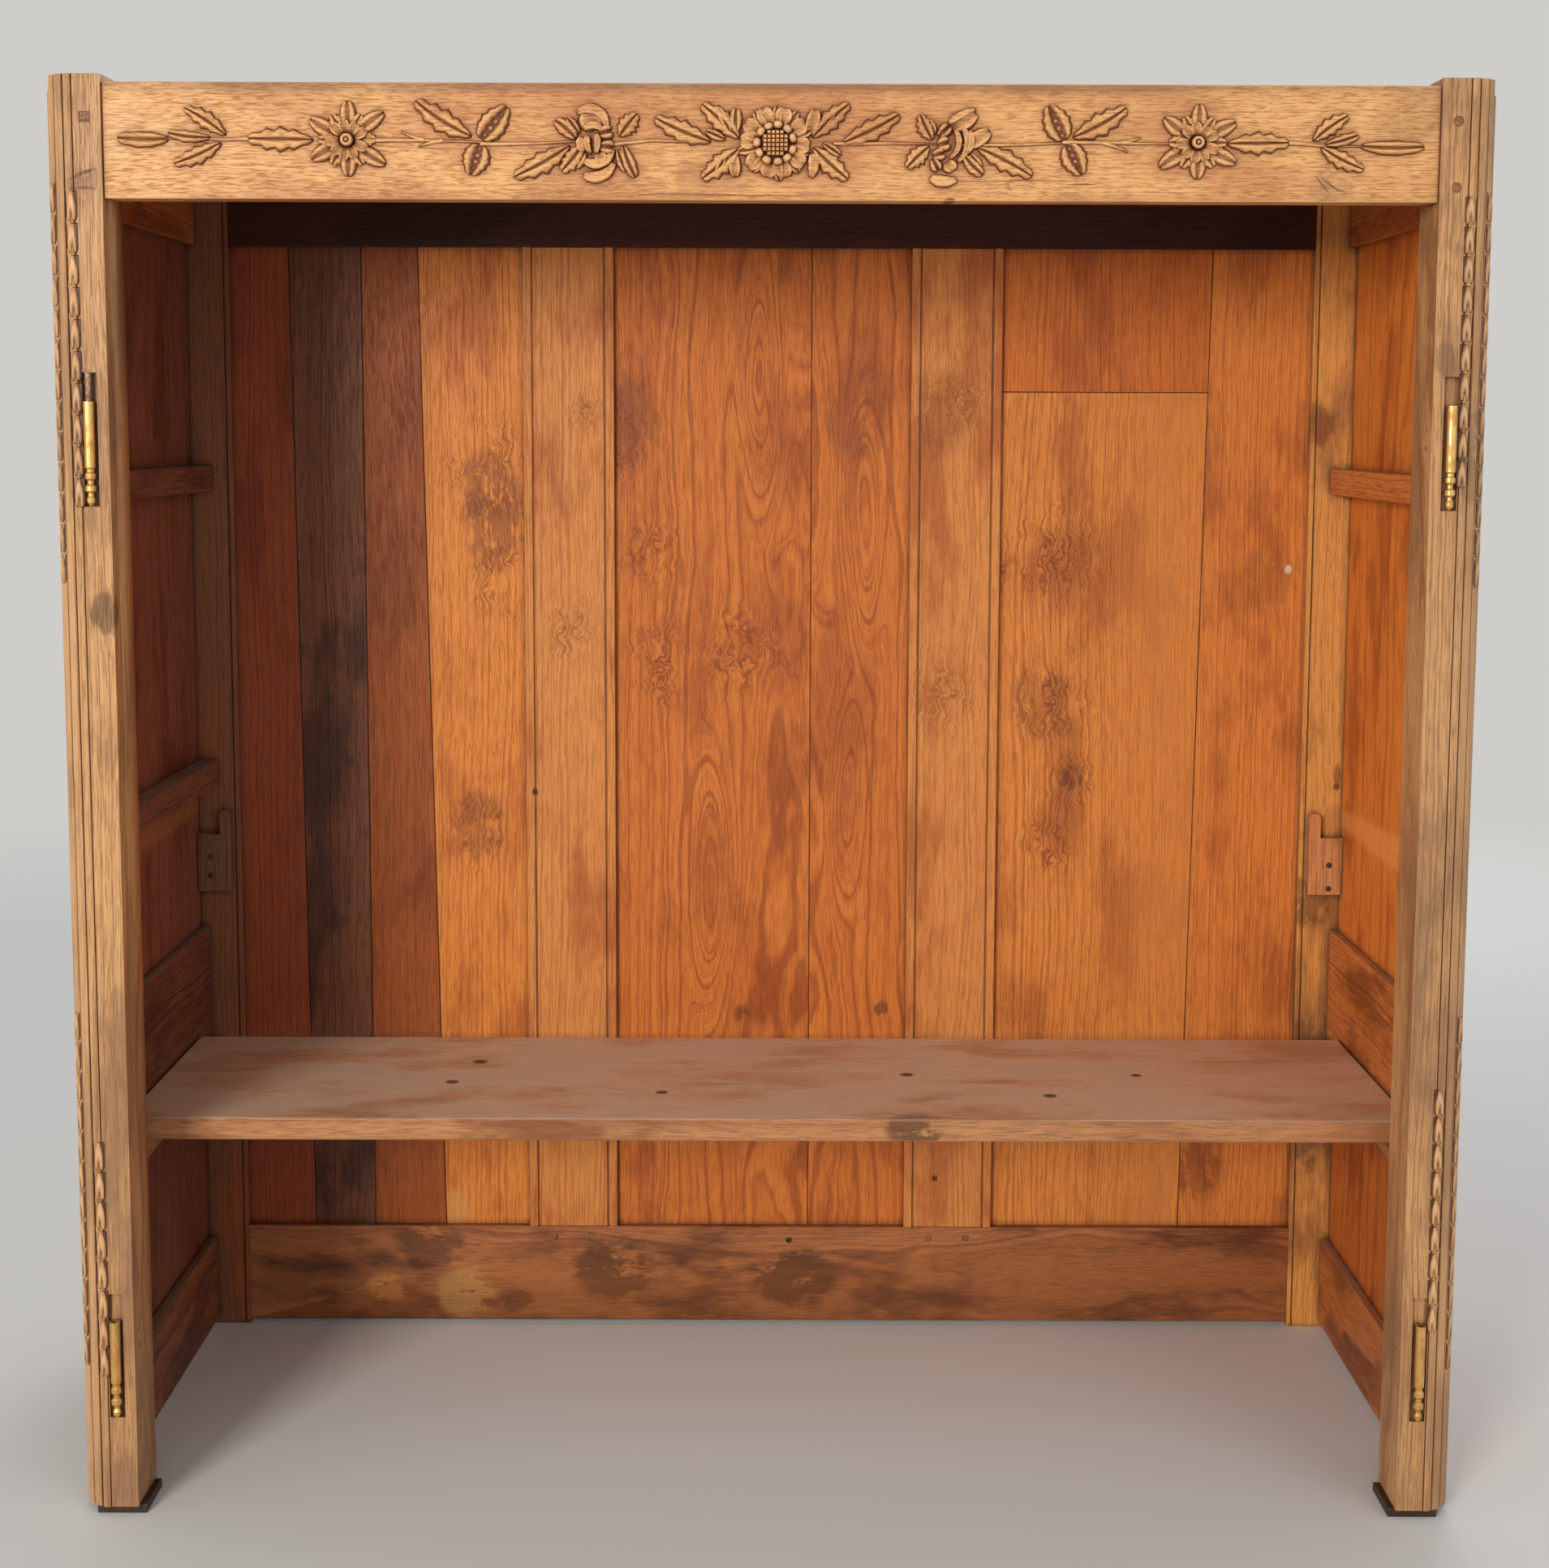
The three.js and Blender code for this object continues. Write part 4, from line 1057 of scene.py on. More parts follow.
# %% Sections across a strip
LOBED = (
    (-0.47, 0.7), (-0.30, 1.0), (-0.12, 0.62), (-0.06, 0.2), (0, 0.62), (0.06, 0.2), (0.12, 0.62), (0.30, 1.0),
    (0.47, 0.7),
)
HOLLOW = ((-0.48, 0.85), (-0.37, 1.0), (-0.2, 0.6), (0, 0.42), (0.2, 0.6), (0.37, 1.0), (0.48, 0.85))
RIMMED = ((-0.48, 0.8), (-0.36, 1.0), (-0.2, 0.84), (0, 0.74), (0.2, 0.7), (0.36, 0.8), (0.48, 0.6))
DOMED = ((-0.47, 0.5), (-0.34, 0.85), (-0.16, 1.0), (0, 1.0), (0.16, 1.0), (0.34, 0.85), (0.47, 0.5))
POD = (
    (-0.48, 0.7), (-0.38, 1.0), (-0.24, 0.85), (-0.1, 0.6), (0, 0.5), (0.1, 0.6), (0.24, 0.85), (0.38, 1.0),
    (0.48, 0.7),
)
SPLIT = (
    (-0.47, 0.5), (-0.34, 0.85), (-0.18, 1.0), (-0.07, 1.0), (0, 1.0), (0.07, 1.0), (0.18, 1.0), (0.34, 0.85),
    (0.47, 0.5),
)
# SUNK is a flat strip that stands low, so the finish paints it dark: painted shade of a sunk ground
SUNK = ((-0.3, 0.1), (0, 0.14), (0.3, 0.1))
print("points across a leaf:", len(LOBED), "and across a husk:", len(SPLIT))

# %% Pick points and mark their lift
SAME = 1e-4


def close_to(value, target):
    """True for two lengths on the bench that are the same"""
    return abs(value - target) < SAME


def pick(piece, test):
    """Selects the vertices that pass a test, in edit mode"""
    bpy.ops.mesh.select_all(action="DESELECT")
    shape = bmesh.from_edit_mesh(piece.data)
    for vertex in shape.verts:
        if test(vertex.co):
            vertex.select_set(True)
    shape.select_flush_mode()
    bmesh.update_edit_mesh(piece.data)


def share_of_one(value):
    """A number kept between 0 and 1"""
    return min(1.0, max(0.0, value))


def mark_lift(piece, measure):
    """Writes how high each point of a carving stands, from 0 to 1, for its finish to read: low points get painted
    shade, tops a painted highlight
    """
    lift = piece.data.attributes.new("lift", "FLOAT", "POINT")
    lift.data.foreach_set("value", [measure(vertex.co) for vertex in piece.data.vertices])


print("points closer than", SAME, "count as one place")

# %% [markdown]
# ## One strip on the bench
#
# The grid has one row of points for each width in the list and one column for each point of the section.
# First the columns go to their place across the strip and are lifted by two units, which keeps them apart
# from the columns that still lie flat. Then each row comes down again and is widened and raised. Every
# second row can grow a tooth at its edges, which makes the leaf jagged, or sink by a rib. A furrow pushes
# down the middle of a row. At last the outer edge is pressed flat and filled from below, so the strip is a
# closed solid, and one level of subdivision makes it soft.

# %% Close and smooth a strip
FOOT_LEVEL = -0.15


def finish_strip(strip):
    """Presses the rim of a strip flat, closes it from below, smooths it and marks its lift"""
    bpy.ops.mesh.select_all(action="DESELECT")
    bpy.ops.mesh.select_mode(type="EDGE")
    bpy.ops.mesh.select_non_manifold()
    bpy.ops.transform.resize(value=(1, 1, 0), center_override=(0, 0, FOOT_LEVEL))
    bpy.ops.mesh.edge_face_add()
    bpy.ops.mesh.select_all(action="SELECT")
    bpy.ops.mesh.normals_make_consistent(inside=False)
    bpy.ops.object.mode_set(mode="OBJECT")
    smooth = strip.modifiers.new("smooth", "SUBSURF")
    smooth.levels = 1
    smooth.render_levels = 1
    bpy.ops.object.modifier_apply(modifier="smooth")
    bpy.ops.object.shade_smooth()
    mark_lift(strip, lambda co: share_of_one(co.z))


print("a strip stands on a foot", -FOOT_LEVEL, "of its height deep")

# %% Carve one strip
BENCH_LIFT = 2
TOOTH_EDGE = 0.4


def shape_row(strip, at, width, height, tooth, flare, furrow, reach):
    """Widens and raises one row of a strip, and cuts its tooth and its furrow"""
    pick(strip, lambda co: close_to(co.x, at))
    bpy.ops.transform.translate(value=(0, 0, -BENCH_LIFT))
    bpy.ops.transform.resize(value=(1, width, height), center_override=(at, 0, 0))
    if tooth:
        pick(strip, lambda co: close_to(co.x, at) and abs(co.y) > TOOTH_EDGE * width)
        bpy.ops.transform.translate(value=(tooth, 0, 0))
        bpy.ops.transform.resize(value=(1, flare, 1), center_override=(at, 0, 0))
    if furrow:
        pick(strip, lambda co: close_to(co.x, at) and abs(co.y) < reach * width)
        bpy.ops.transform.translate(value=(0, 0, -furrow))


def carve(word, section, widths, heights, teeth=0.0, flare=1.6, ribs=0.0, furrow=(), reach=0.1, shadow_skirt=0.12):
    """A strip one unit long, with a section across it, and widths and heights from its root to its tip"""
    # The foot spreads into a thin low flange round the strip, which the finish paints darkest: a painted shadow line
    # round each motif
    foot = ((-0.5 - shadow_skirt, FOOT_LEVEL), (-0.49 - shadow_skirt, 0.03), (-0.51, 0.06))
    outline = foot + section + tuple((-across, height) for across, height in reversed(foot))
    rows = len(widths) - 1
    columns = len(outline) - 1
    bpy.ops.object.select_all(action="DESELECT")
    bpy.ops.mesh.primitive_grid_add(x_subdivisions=rows, y_subdivisions=columns, size=1, location=(0.5, 0, 0))
    strip = bpy.context.object
    strip.name = word
    bpy.ops.object.transform_apply(location=True, rotation=True, scale=True)
    bpy.ops.object.mode_set(mode="EDIT")
    bpy.ops.mesh.select_mode(type="VERT")
    for column, (across, height) in enumerate(outline):
        line = column / columns - 0.5
        pick(strip, lambda co: close_to(co.y, line) and close_to(co.z, 0))
        bpy.ops.transform.translate(value=(0, across - line, height + BENCH_LIFT))
    for row, (width, height) in enumerate(zip(widths, heights)):
        odd = row % 2
        tooth = teeth if odd and row < rows else 0
        cut = furrow[row] if furrow else 0
        shape_row(strip, row / rows, width, height - ribs * odd, tooth, flare, cut, reach)
    finish_strip(strip)
    return strip


print("carving tool ready")

# %% [markdown]
# ## The motifs
#
# Each motif is one call of the tool. The lists give its width and its height in rows from root to tip. A saw
# leaf has strong teeth and ribs, a slim leaf weak ones. Petals only swell. The bud has a deep furrow in every
# second row, which leaves its seeds standing, and the husk is split near its mouth. Each motif is made once,
# and the copies are sized, bent and set down one by one, which is why no two of them look quite the same.

# %% Leaves on the bench
MOTIFS = {
    "saw": carve(
        "saw_leaf", LOBED, (0.1, 0.26, 0.36, 0.5, 0.52, 0.62, 0.54, 0.52, 0.42, 0.3, 0.22, 0.03),
        (0.7, 1, 1, 1.15, 1, 1.15, 1, 1.15, 1, 1.1, 0.9, 0.5), teeth=0.09, flare=2.8, ribs=0.45,
    ),
    "slim": carve(
        "slim_leaf", LOBED, (0.2, 0.44, 0.64, 0.74, 0.86, 0.86, 0.8, 0.64, 0.46, 0.06),
        (0.6, 0.9, 1, 1, 1, 1, 1, 0.95, 0.9, 0.6), teeth=0.06, ribs=0.2,
    ),
    "plain": carve(
        "plain_leaf", LOBED, (0.2, 0.5, 0.74, 0.9, 0.96, 0.96, 0.88, 0.74, 0.5, 0.06),
        (0.5, 0.8, 0.9, 1, 1, 1, 1, 1, 0.9, 0.6), teeth=0.04, flare=1.35, ribs=0.2,
    ),
}
print({word: len(motif.data.polygons) for word, motif in MOTIFS.items()})

# %% Petals on the bench
MOTIFS |= {
    "petal": carve(
        "petal", LOBED, (0.4, 0.66, 0.86, 1.0, 0.96, 0.8, 0.5, 0.1), (0.3, 0.5, 0.75, 0.95, 1.0, 1.0, 0.95, 0.8),
    ),
    "cup": carve(
        "cupped_petal", HOLLOW, (0.4, 0.7, 0.92, 1.0, 0.92, 0.62, 0.16), (0.35, 0.55, 0.8, 0.95, 1, 1, 0.95),
    ),
    "bead": carve("bead_petal", DOMED, (0.4, 0.75, 0.98, 1.0, 0.8, 0.4), (0.6, 0.9, 1, 1, 1, 0.8), shadow_skirt=0.14),
    "lobe": carve(
        "notched_petal", LOBED, (0.4, 0.7, 0.95, 1.0, 0.9, 0.6), (0.5, 0.75, 0.9, 1.0, 1.0, 0.95), teeth=0.03,
        flare=1.15, furrow=(0, 0, 0, 0.1, 0.4, 0.6), shadow_skirt=0.14,
    ),
    "lens": carve(
        "curled_petal", RIMMED, (0.16, 0.6, 0.84, 1.0, 0.86, 0.92, 0.62, 0.5, 0.14),
        (0.6, 0.9, 1, 1, 0.9, 1, 0.85, 0.95, 0.6), teeth=0.02, flare=1.15,
    ),
}
print(len(MOTIFS), "motifs so far")

# %% Buds, husks and sunk ground on the bench
MOTIFS |= {
    "bud": carve(
        "ribbed_bud", POD, (0.3, 0.56, 0.7, 0.8, 0.86, 0.88, 0.82, 0.74, 0.6, 0.46, 0.28, 0.06),
        (0.7, 0.95, 1, 1, 1, 1, 1, 1, 1, 1, 0.9, 0.6), teeth=0.05, flare=1.5, ribs=0.3,
        furrow=(0, 0.1, 0.75, 0.1, 0.8, 0.1, 0.8, 0.1, 0.7, 0.1, 0.4, 0), reach=0.27,
    ),
    "husk": carve(
        "husk", SPLIT, (0.28, 0.42, 0.64, 0.86, 0.98, 1.0, 0.98, 0.92, 0.8), (0.4, 0.75, 0.9, 1, 1, 1, 1, 1, 0.9),
        furrow=(0, 0, 0, 0, 0.1, 0.45, 0.9, 0.97, 0), reach=0.09, shadow_skirt=0.06,
    ),
    "ground": carve("sunk_ground", SUNK, (1,) * 9, (1,) * 9, shadow_skirt=0.04),
}
print(len(MOTIFS), "motifs so far")

# %% [markdown]
# ## Setting a motif down
#
# A motif lies flat on the bench: its length along X, its relief up Z. A copy is first sized and only then
# bent, because a bend of the unit strip would be squeezed flat by the sizing. A bend shortens the way from
# root to tip and turns it, so the copy is made a little longer and turned back by half the bend. Then it is
# stood up on the rail, and the matrix is written into its mesh. The copies of a bunch are joined into one
# piece.

# %% Copy and bend a motif
def copy_of(motif):
    """A copy of a motif with its own mesh"""
    part = bpy.data.objects.new(motif.name + "_copy", motif.data.copy())
    scene.collection.objects.link(part)
    return part


def curled(part, bend):
    """Bends a sized part sideways, by twice an angle from its root to its tip"""
    select_only(part)
    curl = part.modifiers.new("curl", "SIMPLE_DEFORM")
    curl.deform_method = "BEND"
    curl.deform_axis = "Z"
    curl.angle = 2 * bend
    bpy.ops.object.modifier_apply(modifier="curl")


print("a bend of 8 degrees makes a leaf", round(100 * (math.radians(4) / math.sin(math.radians(4)) - 1), 2), "% longer")

# %% Lay a motif on the rail
MM = 0.001
STAND = Matrix.Rotation(math.pi / 2, 4, "X")


def on_rail(x, z, rise=0.0):
    """A move to a place on the face of the rail, in millimetres"""
    return Matrix.Translation((x * MM, RAIL_FACE - rise * MM, z * MM))


def lay(kind, root, tip, width, relief, bend=0):
    """A copy of a motif on the face of the rail, from its root to its tip, in millimetres and degrees"""
    part = copy_of(MOTIFS[kind])
    run = Vector((tip[0] - root[0], tip[1] - root[1]))
    half = math.radians(bend)
    length = run.length * (half / math.sin(half) if bend else 1)
    part.data.transform(Matrix.Diagonal((length * MM, width * MM, relief * MM, 1)))
    if bend:
        curled(part, half)
    swing = Matrix.Rotation(math.atan2(run.y, run.x) - half, 4, "Z")
    part.data.transform(on_rail(*root) @ STAND @ swing)
    return part


print("motifs are laid on the plane y =", RAIL_FACE)

# %% Join a bunch
carvings = []


def bunch(word, parts):
    """Joins copies into one named piece that rides with the carcase"""
    bpy.ops.object.select_all(action="DESELECT")
    for part in parts:
        part.select_set(True)
    bpy.context.view_layer.objects.active = parts[0]
    bpy.ops.object.join()
    whole = bpy.context.object
    whole.name = word
    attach(whole, "carcase")
    carvings.append(whole)
    return whole


# %% [markdown]
# ## Leaves
#
# The garland reads from both ends to the middle: a spray, a star flower, a pair of buds, a peony, and the
# leaves of the sunflower. The two halves aren't mirror images, because the carver worked by eye. So each leaf
# has its own row in a table: its motif, its root and its tip on the rail, its width and its bend.

# %% Leaves of the left half
LEAVES = {
    "left_spray": [
        ("saw", -522, 1390, -566, 1420, 13, 8),
        ("saw", -526, 1387, -578, 1363, 13, -8),
        ("slim", -536, 1390, -584, 1394, 9, -8),
        ("plain", -576, 1389, -633, 1389, 12, -6),
        ("saw", -436, 1388, -508, 1389, 17, 0),
    ],
    "left_buds": [
        ("saw", -284, 1390, -346, 1427, 17, -9),
        ("bud", -281, 1387, -252, 1422, 22, 0),
        ("bud", -279, 1386, -290, 1353, 22, 0),
    ],
    "left_peony_leaves": [
        ("saw", -190, 1386, -251, 1351, 16, -6),
        ("slim", -186, 1388, -209, 1409, 12, 8),
        ("slim", -184, 1393, -197, 1411, 8, 6),
        ("saw", -180, 1386, -203, 1357, 15, -6),
        ("slim", -178, 1379, -189, 1361, 9, 0),
        ("saw", -147, 1390, -128, 1415, 15, -6),
        ("slim", -143, 1386, -130, 1351, 11, 8),
        ("slim", -148, 1382, -139, 1357, 9, 6),
    ],
}
print(sum(len(rows) for rows in LEAVES.values()), "leaves and buds on the left")

# %% Leaves round the sunflower
LEAVES |= {
    "centre_leaves": [
        ("saw", -54, 1386, -116, 1411, 16, -6),
        ("saw", -28, 1388, -69, 1425, 16, 4),
        ("slim", -38, 1393, -53, 1422, 9, 4),
        ("slim", -34, 1393, -34, 1421, 11, -4),
        ("slim", -43, 1389, -64, 1398, 8, 0),
        ("saw", -28, 1384, -69, 1350, 16, -4),
        ("slim", -44, 1374, -53, 1356, 8, 0),
        ("cup", -37, 1380, -34, 1351, 12, 0),
        ("saw", 37, 1389, 77, 1426, 15, -4),
        ("slim", 42, 1394, 62, 1417, 8, 4),
        ("cup", 34, 1393, 44, 1421, 14, 12),
        ("saw", 38, 1385, 76, 1350, 16, 4),
        ("lens", 38, 1379, 39, 1352, 11, -24),
        ("slim", 48, 1387, 68, 1374, 8, -4),
        ("saw", 64, 1385, 127, 1415, 16, 6),
    ],
}
print(len(LEAVES["centre_leaves"]), "leaves round the sunflower")

# %% Leaves of the right half
LEAVES |= {
    "right_peony_leaves": [
        ("saw", 156, 1388, 142, 1415, 13, -6),
        ("slim", 158, 1394, 150, 1410, 8, 0),
        ("saw", 154, 1385, 129, 1362, 14, 6),
        ("slim", 184, 1377, 205, 1355, 11, 8),
        ("slim", 190, 1378, 203, 1363, 8, 6),
        ("saw", 194, 1384, 255, 1354, 16, -6),
    ],
    "right_buds": [
        ("bud", 283, 1388, 265, 1425, 22, 0),
        ("bud", 284, 1388, 300, 1355, 21, 0),
        ("saw", 286, 1391, 345, 1422, 17, 8),
    ],
    "right_spray": [
        ("saw", 434, 1387, 502, 1388, 16, 0),
        ("saw", 519, 1388, 556, 1416, 13, -8),
        ("saw", 526, 1386, 573, 1361, 13, 8),
        ("slim", 530, 1386, 567, 1396, 9, 6),
        ("plain", 562, 1386, 633, 1384, 11, 6),
    ],
}
print(sum(len(rows) for rows in LEAVES.values()), "leaves and buds in all")

# %% Lay the leaves
LEAF_RELIEF = 6.4

for word, rows in LEAVES.items():
    bunch("garland_" + word, [
        lay(kind, (x1, z1), (x2, z2), width, LEAF_RELIEF, bend) for kind, x1, z1, x2, z2, width, bend in rows
    ])
print(len(carvings), "bunches of leaves")

# %% [markdown]
# ## Stems
#
# The stems are thin rounded ridges that join the bunches. A curve with a round bevel draws one through a few
# points and thins towards its end, and is then made a mesh. Half of it is sunk in the rail.

# %% Places of the stems
STEMS = [
    [(-503, 1389), (-514, 1389), (-526, 1388), (-552, 1389), (-582, 1389)],
    [(-392, 1388), (-347, 1388), (-320, 1388), (-272, 1386)],
    [(-334, 1388), (-348, 1392), (-356, 1396)],
    [(-316, 1388), (-330, 1386), (-339, 1382)],
    [(-280, 1385), (-242, 1384), (-180, 1388)],
    [(-156, 1384), (-125, 1388), (-104, 1389), (-60, 1386)],
    [(60, 1386), (117, 1387), (160, 1386)],
    [(184, 1385), (242, 1385), (290, 1388)],
    [(280, 1388), (328, 1388), (351, 1387), (396, 1387)],
    [(336, 1388), (348, 1389), (355, 1393)],
    [(318, 1388), (334, 1384), (343, 1379)],
    [(498, 1388), (517, 1387), (533, 1385), (570, 1385)],
]
print("points of the stems:", sum(len(points) for points in STEMS))

# %% Stems and twigs
STEM_RADIUS = 2.2
STEM_TAPER = 0.45


# The low sides of a stem get a low lift, so the finish paints them dark: painted shade along the stem
def stem_lift(co):
    """How high a point of a stem stands, from 0 near the rail's face to 1 on its crest"""
    return share_of_one(((RAIL_FACE - co.y) / (STEM_RADIUS * MM) - 0.3) * 1.6)


def stem(points):
    """A rounded ridge through points on the rail's face, thinner at its end"""
    line = bpy.data.curves.new("stem", "CURVE")
    line.dimensions = "3D"
    line.bevel_depth = STEM_RADIUS * MM
    line.bevel_resolution = 2
    line.resolution_u = 6
    line.use_fill_caps = True
    run = line.splines.new("NURBS")
    run.points.add(len(points) - 1)
    for index, (x, z) in enumerate(points):
        run.points[index].co = (x * MM, RAIL_FACE, z * MM, 1)
        run.points[index].radius = 1 - STEM_TAPER * index / (len(points) - 1)
    run.order_u = 3
    run.use_endpoint_u = True
    ridge = bpy.data.objects.new("stem", line)
    scene.collection.objects.link(ridge)
    select_only(ridge)
    bpy.ops.object.convert(target="MESH")
    bpy.ops.object.shade_smooth()
    ridge = bpy.context.object
    mark_lift(ridge, stem_lift)
    return ridge


bunch("garland_stems", [stem(points) for points in STEMS])
print(len(STEMS), "stems")

# %% [markdown]
# ## Flowers
#
# There are five flowers: a star at each end, a peony next to it and a sunflower in the middle. A carver sets
# the back petals first and works towards the heart, and so do these cells: each ring lies a little higher
# than the one behind it. The heart of a star is a button with a hollow: a disc whose insets go up and down.

# %% Button heart
BUTTON_STEPS = ((0.12, 0.8), (0.2, 0.2), (0.16, 0.0), (0.1, -0.45), (0.1, 0.05), (0.08, 0.35))
# The hollow of the button gets a lower lift, so the finish paints it darker: painted shade in the hollow
HOLLOW_RADIUS = 0.4
HOLLOW_DARKER = 0.35


def button(word):
    """A round button of radius 1 with a raised rim and a hollow, one ring of faces inside another"""
    bpy.ops.object.select_all(action="DESELECT")
    bpy.ops.mesh.primitive_circle_add(vertices=20, radius=1, fill_type="NGON")
    knob = bpy.context.object
    knob.name = word
    bpy.ops.object.mode_set(mode="EDIT")
    bpy.ops.mesh.select_mode(type="FACE")
    bpy.ops.mesh.select_all(action="SELECT")
    for thickness, rise in BUTTON_STEPS:
        bpy.ops.mesh.inset(thickness=thickness)
        bpy.ops.transform.translate(value=(0, 0, rise))
    bpy.ops.mesh.select_all(action="DESELECT")
    bpy.ops.mesh.select_mode(type="EDGE")
    bpy.ops.mesh.select_non_manifold()
    bpy.ops.mesh.edge_face_add()
    bpy.ops.mesh.select_all(action="SELECT")
    bpy.ops.mesh.normals_make_consistent(inside=False)
    bpy.ops.object.mode_set(mode="OBJECT")
    bpy.ops.object.shade_smooth()
    mark_lift(knob, lambda co: share_of_one(co.z - (HOLLOW_DARKER if co.xy.length < HOLLOW_RADIUS else 0)))
    return knob


MOTIFS["button"] = button("flower_button")
print("button faces:", len(MOTIFS["button"].data.polygons))

# %% [markdown]
# ## The sunflower's heart
#
# The heart of the sunflower is a disc cut into small raised squares. A grid gives the squares, those outside
# the circle are deleted, and an inset of each face on its own raises it above its joints. The rim is then
# extruded down and filled.

# %% Seed heart
SEED_CELLS = 6
SEED_GAP = 0.42
SEED_RISE = 0.35
# The joints between the squares get a low lift, so the finish paints them dark: painted shade between seeds
SEED_TOP_LIFT = 0.66
SEED_JOINT_LIFT = 0.15


def seed_disc(word):
    """A round heart of radius 1, cut into raised squares"""
    bpy.ops.object.select_all(action="DESELECT")
    bpy.ops.mesh.primitive_grid_add(x_subdivisions=SEED_CELLS, y_subdivisions=SEED_CELLS, size=2)
    disc = bpy.context.object
    disc.name = word
    bpy.ops.object.mode_set(mode="EDIT")
    bpy.ops.mesh.select_mode(type="FACE")
    bpy.ops.mesh.select_all(action="DESELECT")
    shape = bmesh.from_edit_mesh(disc.data)
    for face in shape.faces:
        face.select_set(face.calc_center_median().length > 1)
    bmesh.update_edit_mesh(disc.data)
    bpy.ops.mesh.delete(type="FACE")
    bpy.ops.mesh.select_all(action="SELECT")
    bpy.ops.mesh.inset(thickness=1 / SEED_CELLS * SEED_GAP, depth=SEED_RISE, use_individual=True)
    bpy.ops.mesh.select_all(action="DESELECT")
    bpy.ops.mesh.select_mode(type="EDGE")
    bpy.ops.mesh.select_non_manifold()
    bpy.ops.mesh.extrude_region_move(TRANSFORM_OT_translate={"value": (0, 0, -1)})
    bpy.ops.mesh.edge_face_add()
    bpy.ops.mesh.select_all(action="SELECT")
    bpy.ops.mesh.normals_make_consistent(inside=False)
    bpy.ops.object.mode_set(mode="OBJECT")
    mark_lift(disc, lambda co: SEED_TOP_LIFT if co.z > 0.1 else SEED_JOINT_LIFT)
    return disc


MOTIFS["seeds"] = seed_disc("seed_disc")
print("seed disc faces:", len(MOTIFS["seeds"].data.polygons))

# %% Hearts and rings of petals
def heart(kind, centre, radius, relief, rise=0.0):
    """A heart on the rail, at a centre in millimetres"""
    part = copy_of(MOTIFS[kind])
    size = Matrix.Diagonal((radius * MM, radius * MM, relief * MM, 1))
    part.data.transform(on_rail(*centre, rise) @ STAND @ size)
    return part


def along_ray(centre, way, reach):
    """The place at a distance from a centre, in a direction"""
    return centre[0] + way.x * reach, centre[1] + way.y * reach


def ring_of(kind, centre, count, inner, outer, width, relief, first, uneven, seed):
    """Petals all round a centre, from the angle of the first one on, a little uneven"""
    draw = random.Random(seed)
    petals = []
    for index in range(count):
        angle = math.radians(first + 360 * index / count + draw.uniform(-uneven, uneven))
        reach = outer * (1 + draw.uniform(-0.01, 0.01) * uneven)
        way = Vector((math.cos(angle), math.sin(angle)))
        root, tip = along_ray(centre, way, inner), along_ray(centre, way, reach)
        petals.append(lay(kind, root, tip, width, relief))
    return petals


print("petals of a ring of 9 stand", 360 // 9, "degrees apart")

# %% [markdown]
# ## Star flowers
#
# Six long petals make the star, and their tips are placed one by one, because no two are at the same angle.
# A small jagged leaf shows between every two petals. Inside lies a ring of nine cupped petals round the
# button.

# %% Star flowers
STARS = {
    "left": ((-408, 1388), [(-407, 1428), (-446, 1409), (-445, 1368), (-407, 1351), (-369, 1363), (-370, 1416)]),
    "right": ((410, 1388), [(411, 1427), (375, 1413), (371, 1363), (410, 1351), (450, 1367), (449, 1409)]),
}
STAR_ROOT = 10
STAR_LEAF_REACH = (8, 29)

for side, (centre, tips) in STARS.items():
    parts = []
    for index, tip in enumerate(tips):
        way = Vector((tip[0] - centre[0], tip[1] - centre[1])).normalized()
        parts.append(lay("petal", along_ray(centre, way, STAR_ROOT), tip, 15, 5.2, 5 * (-1) ** index))
        after = tips[(index + 1) % len(tips)]
        middle = Vector(((tip[0] + after[0]) / 2 - centre[0], (tip[1] + after[1]) / 2 - centre[1])).normalized()
        root, end = (along_ray(centre, middle, reach) for reach in STAR_LEAF_REACH)
        parts.append(lay("saw", root, end, 13, 4.4))
    parts += ring_of("cup", centre, 9, 5, 22.5, 11.5, 7.2, first=60, uneven=7, seed=4)
    parts.append(heart("button", centre, 6.6, 8.2))
    bunch(f"garland_star_{side}", parts)
print(len(parts), "parts in each star")

# %% Sunflower in the middle
SUN = (4, 1386)

sunflower = ring_of("petal", SUN, 10, 12, 38.5, 12, 4.6, first=90, uneven=6, seed=3)
sunflower += ring_of("cup", SUN, 10, 17, 36.5, 18, 6.0, first=72, uneven=5, seed=5)
sunflower += ring_of("bead", SUN, 11, 12, 22.5, 10.5, 7.4, first=80, uneven=4, seed=6)
sunflower.append(heart("seeds", SUN, 12, 4.5, 7.2))
print(len(sunflower), "parts in the sunflower")
bunch("garland_sunflower", sunflower)

# %% [markdown]
# ## Peonies
#
# A peony is seen half from the side: an open cup of broad petals, with curled ones lying across them like
# crescents. There is no ring to it, so each petal has its own row: motif, root, tip, width, relief and bend.
# The later ones stand higher and lie over the earlier ones.

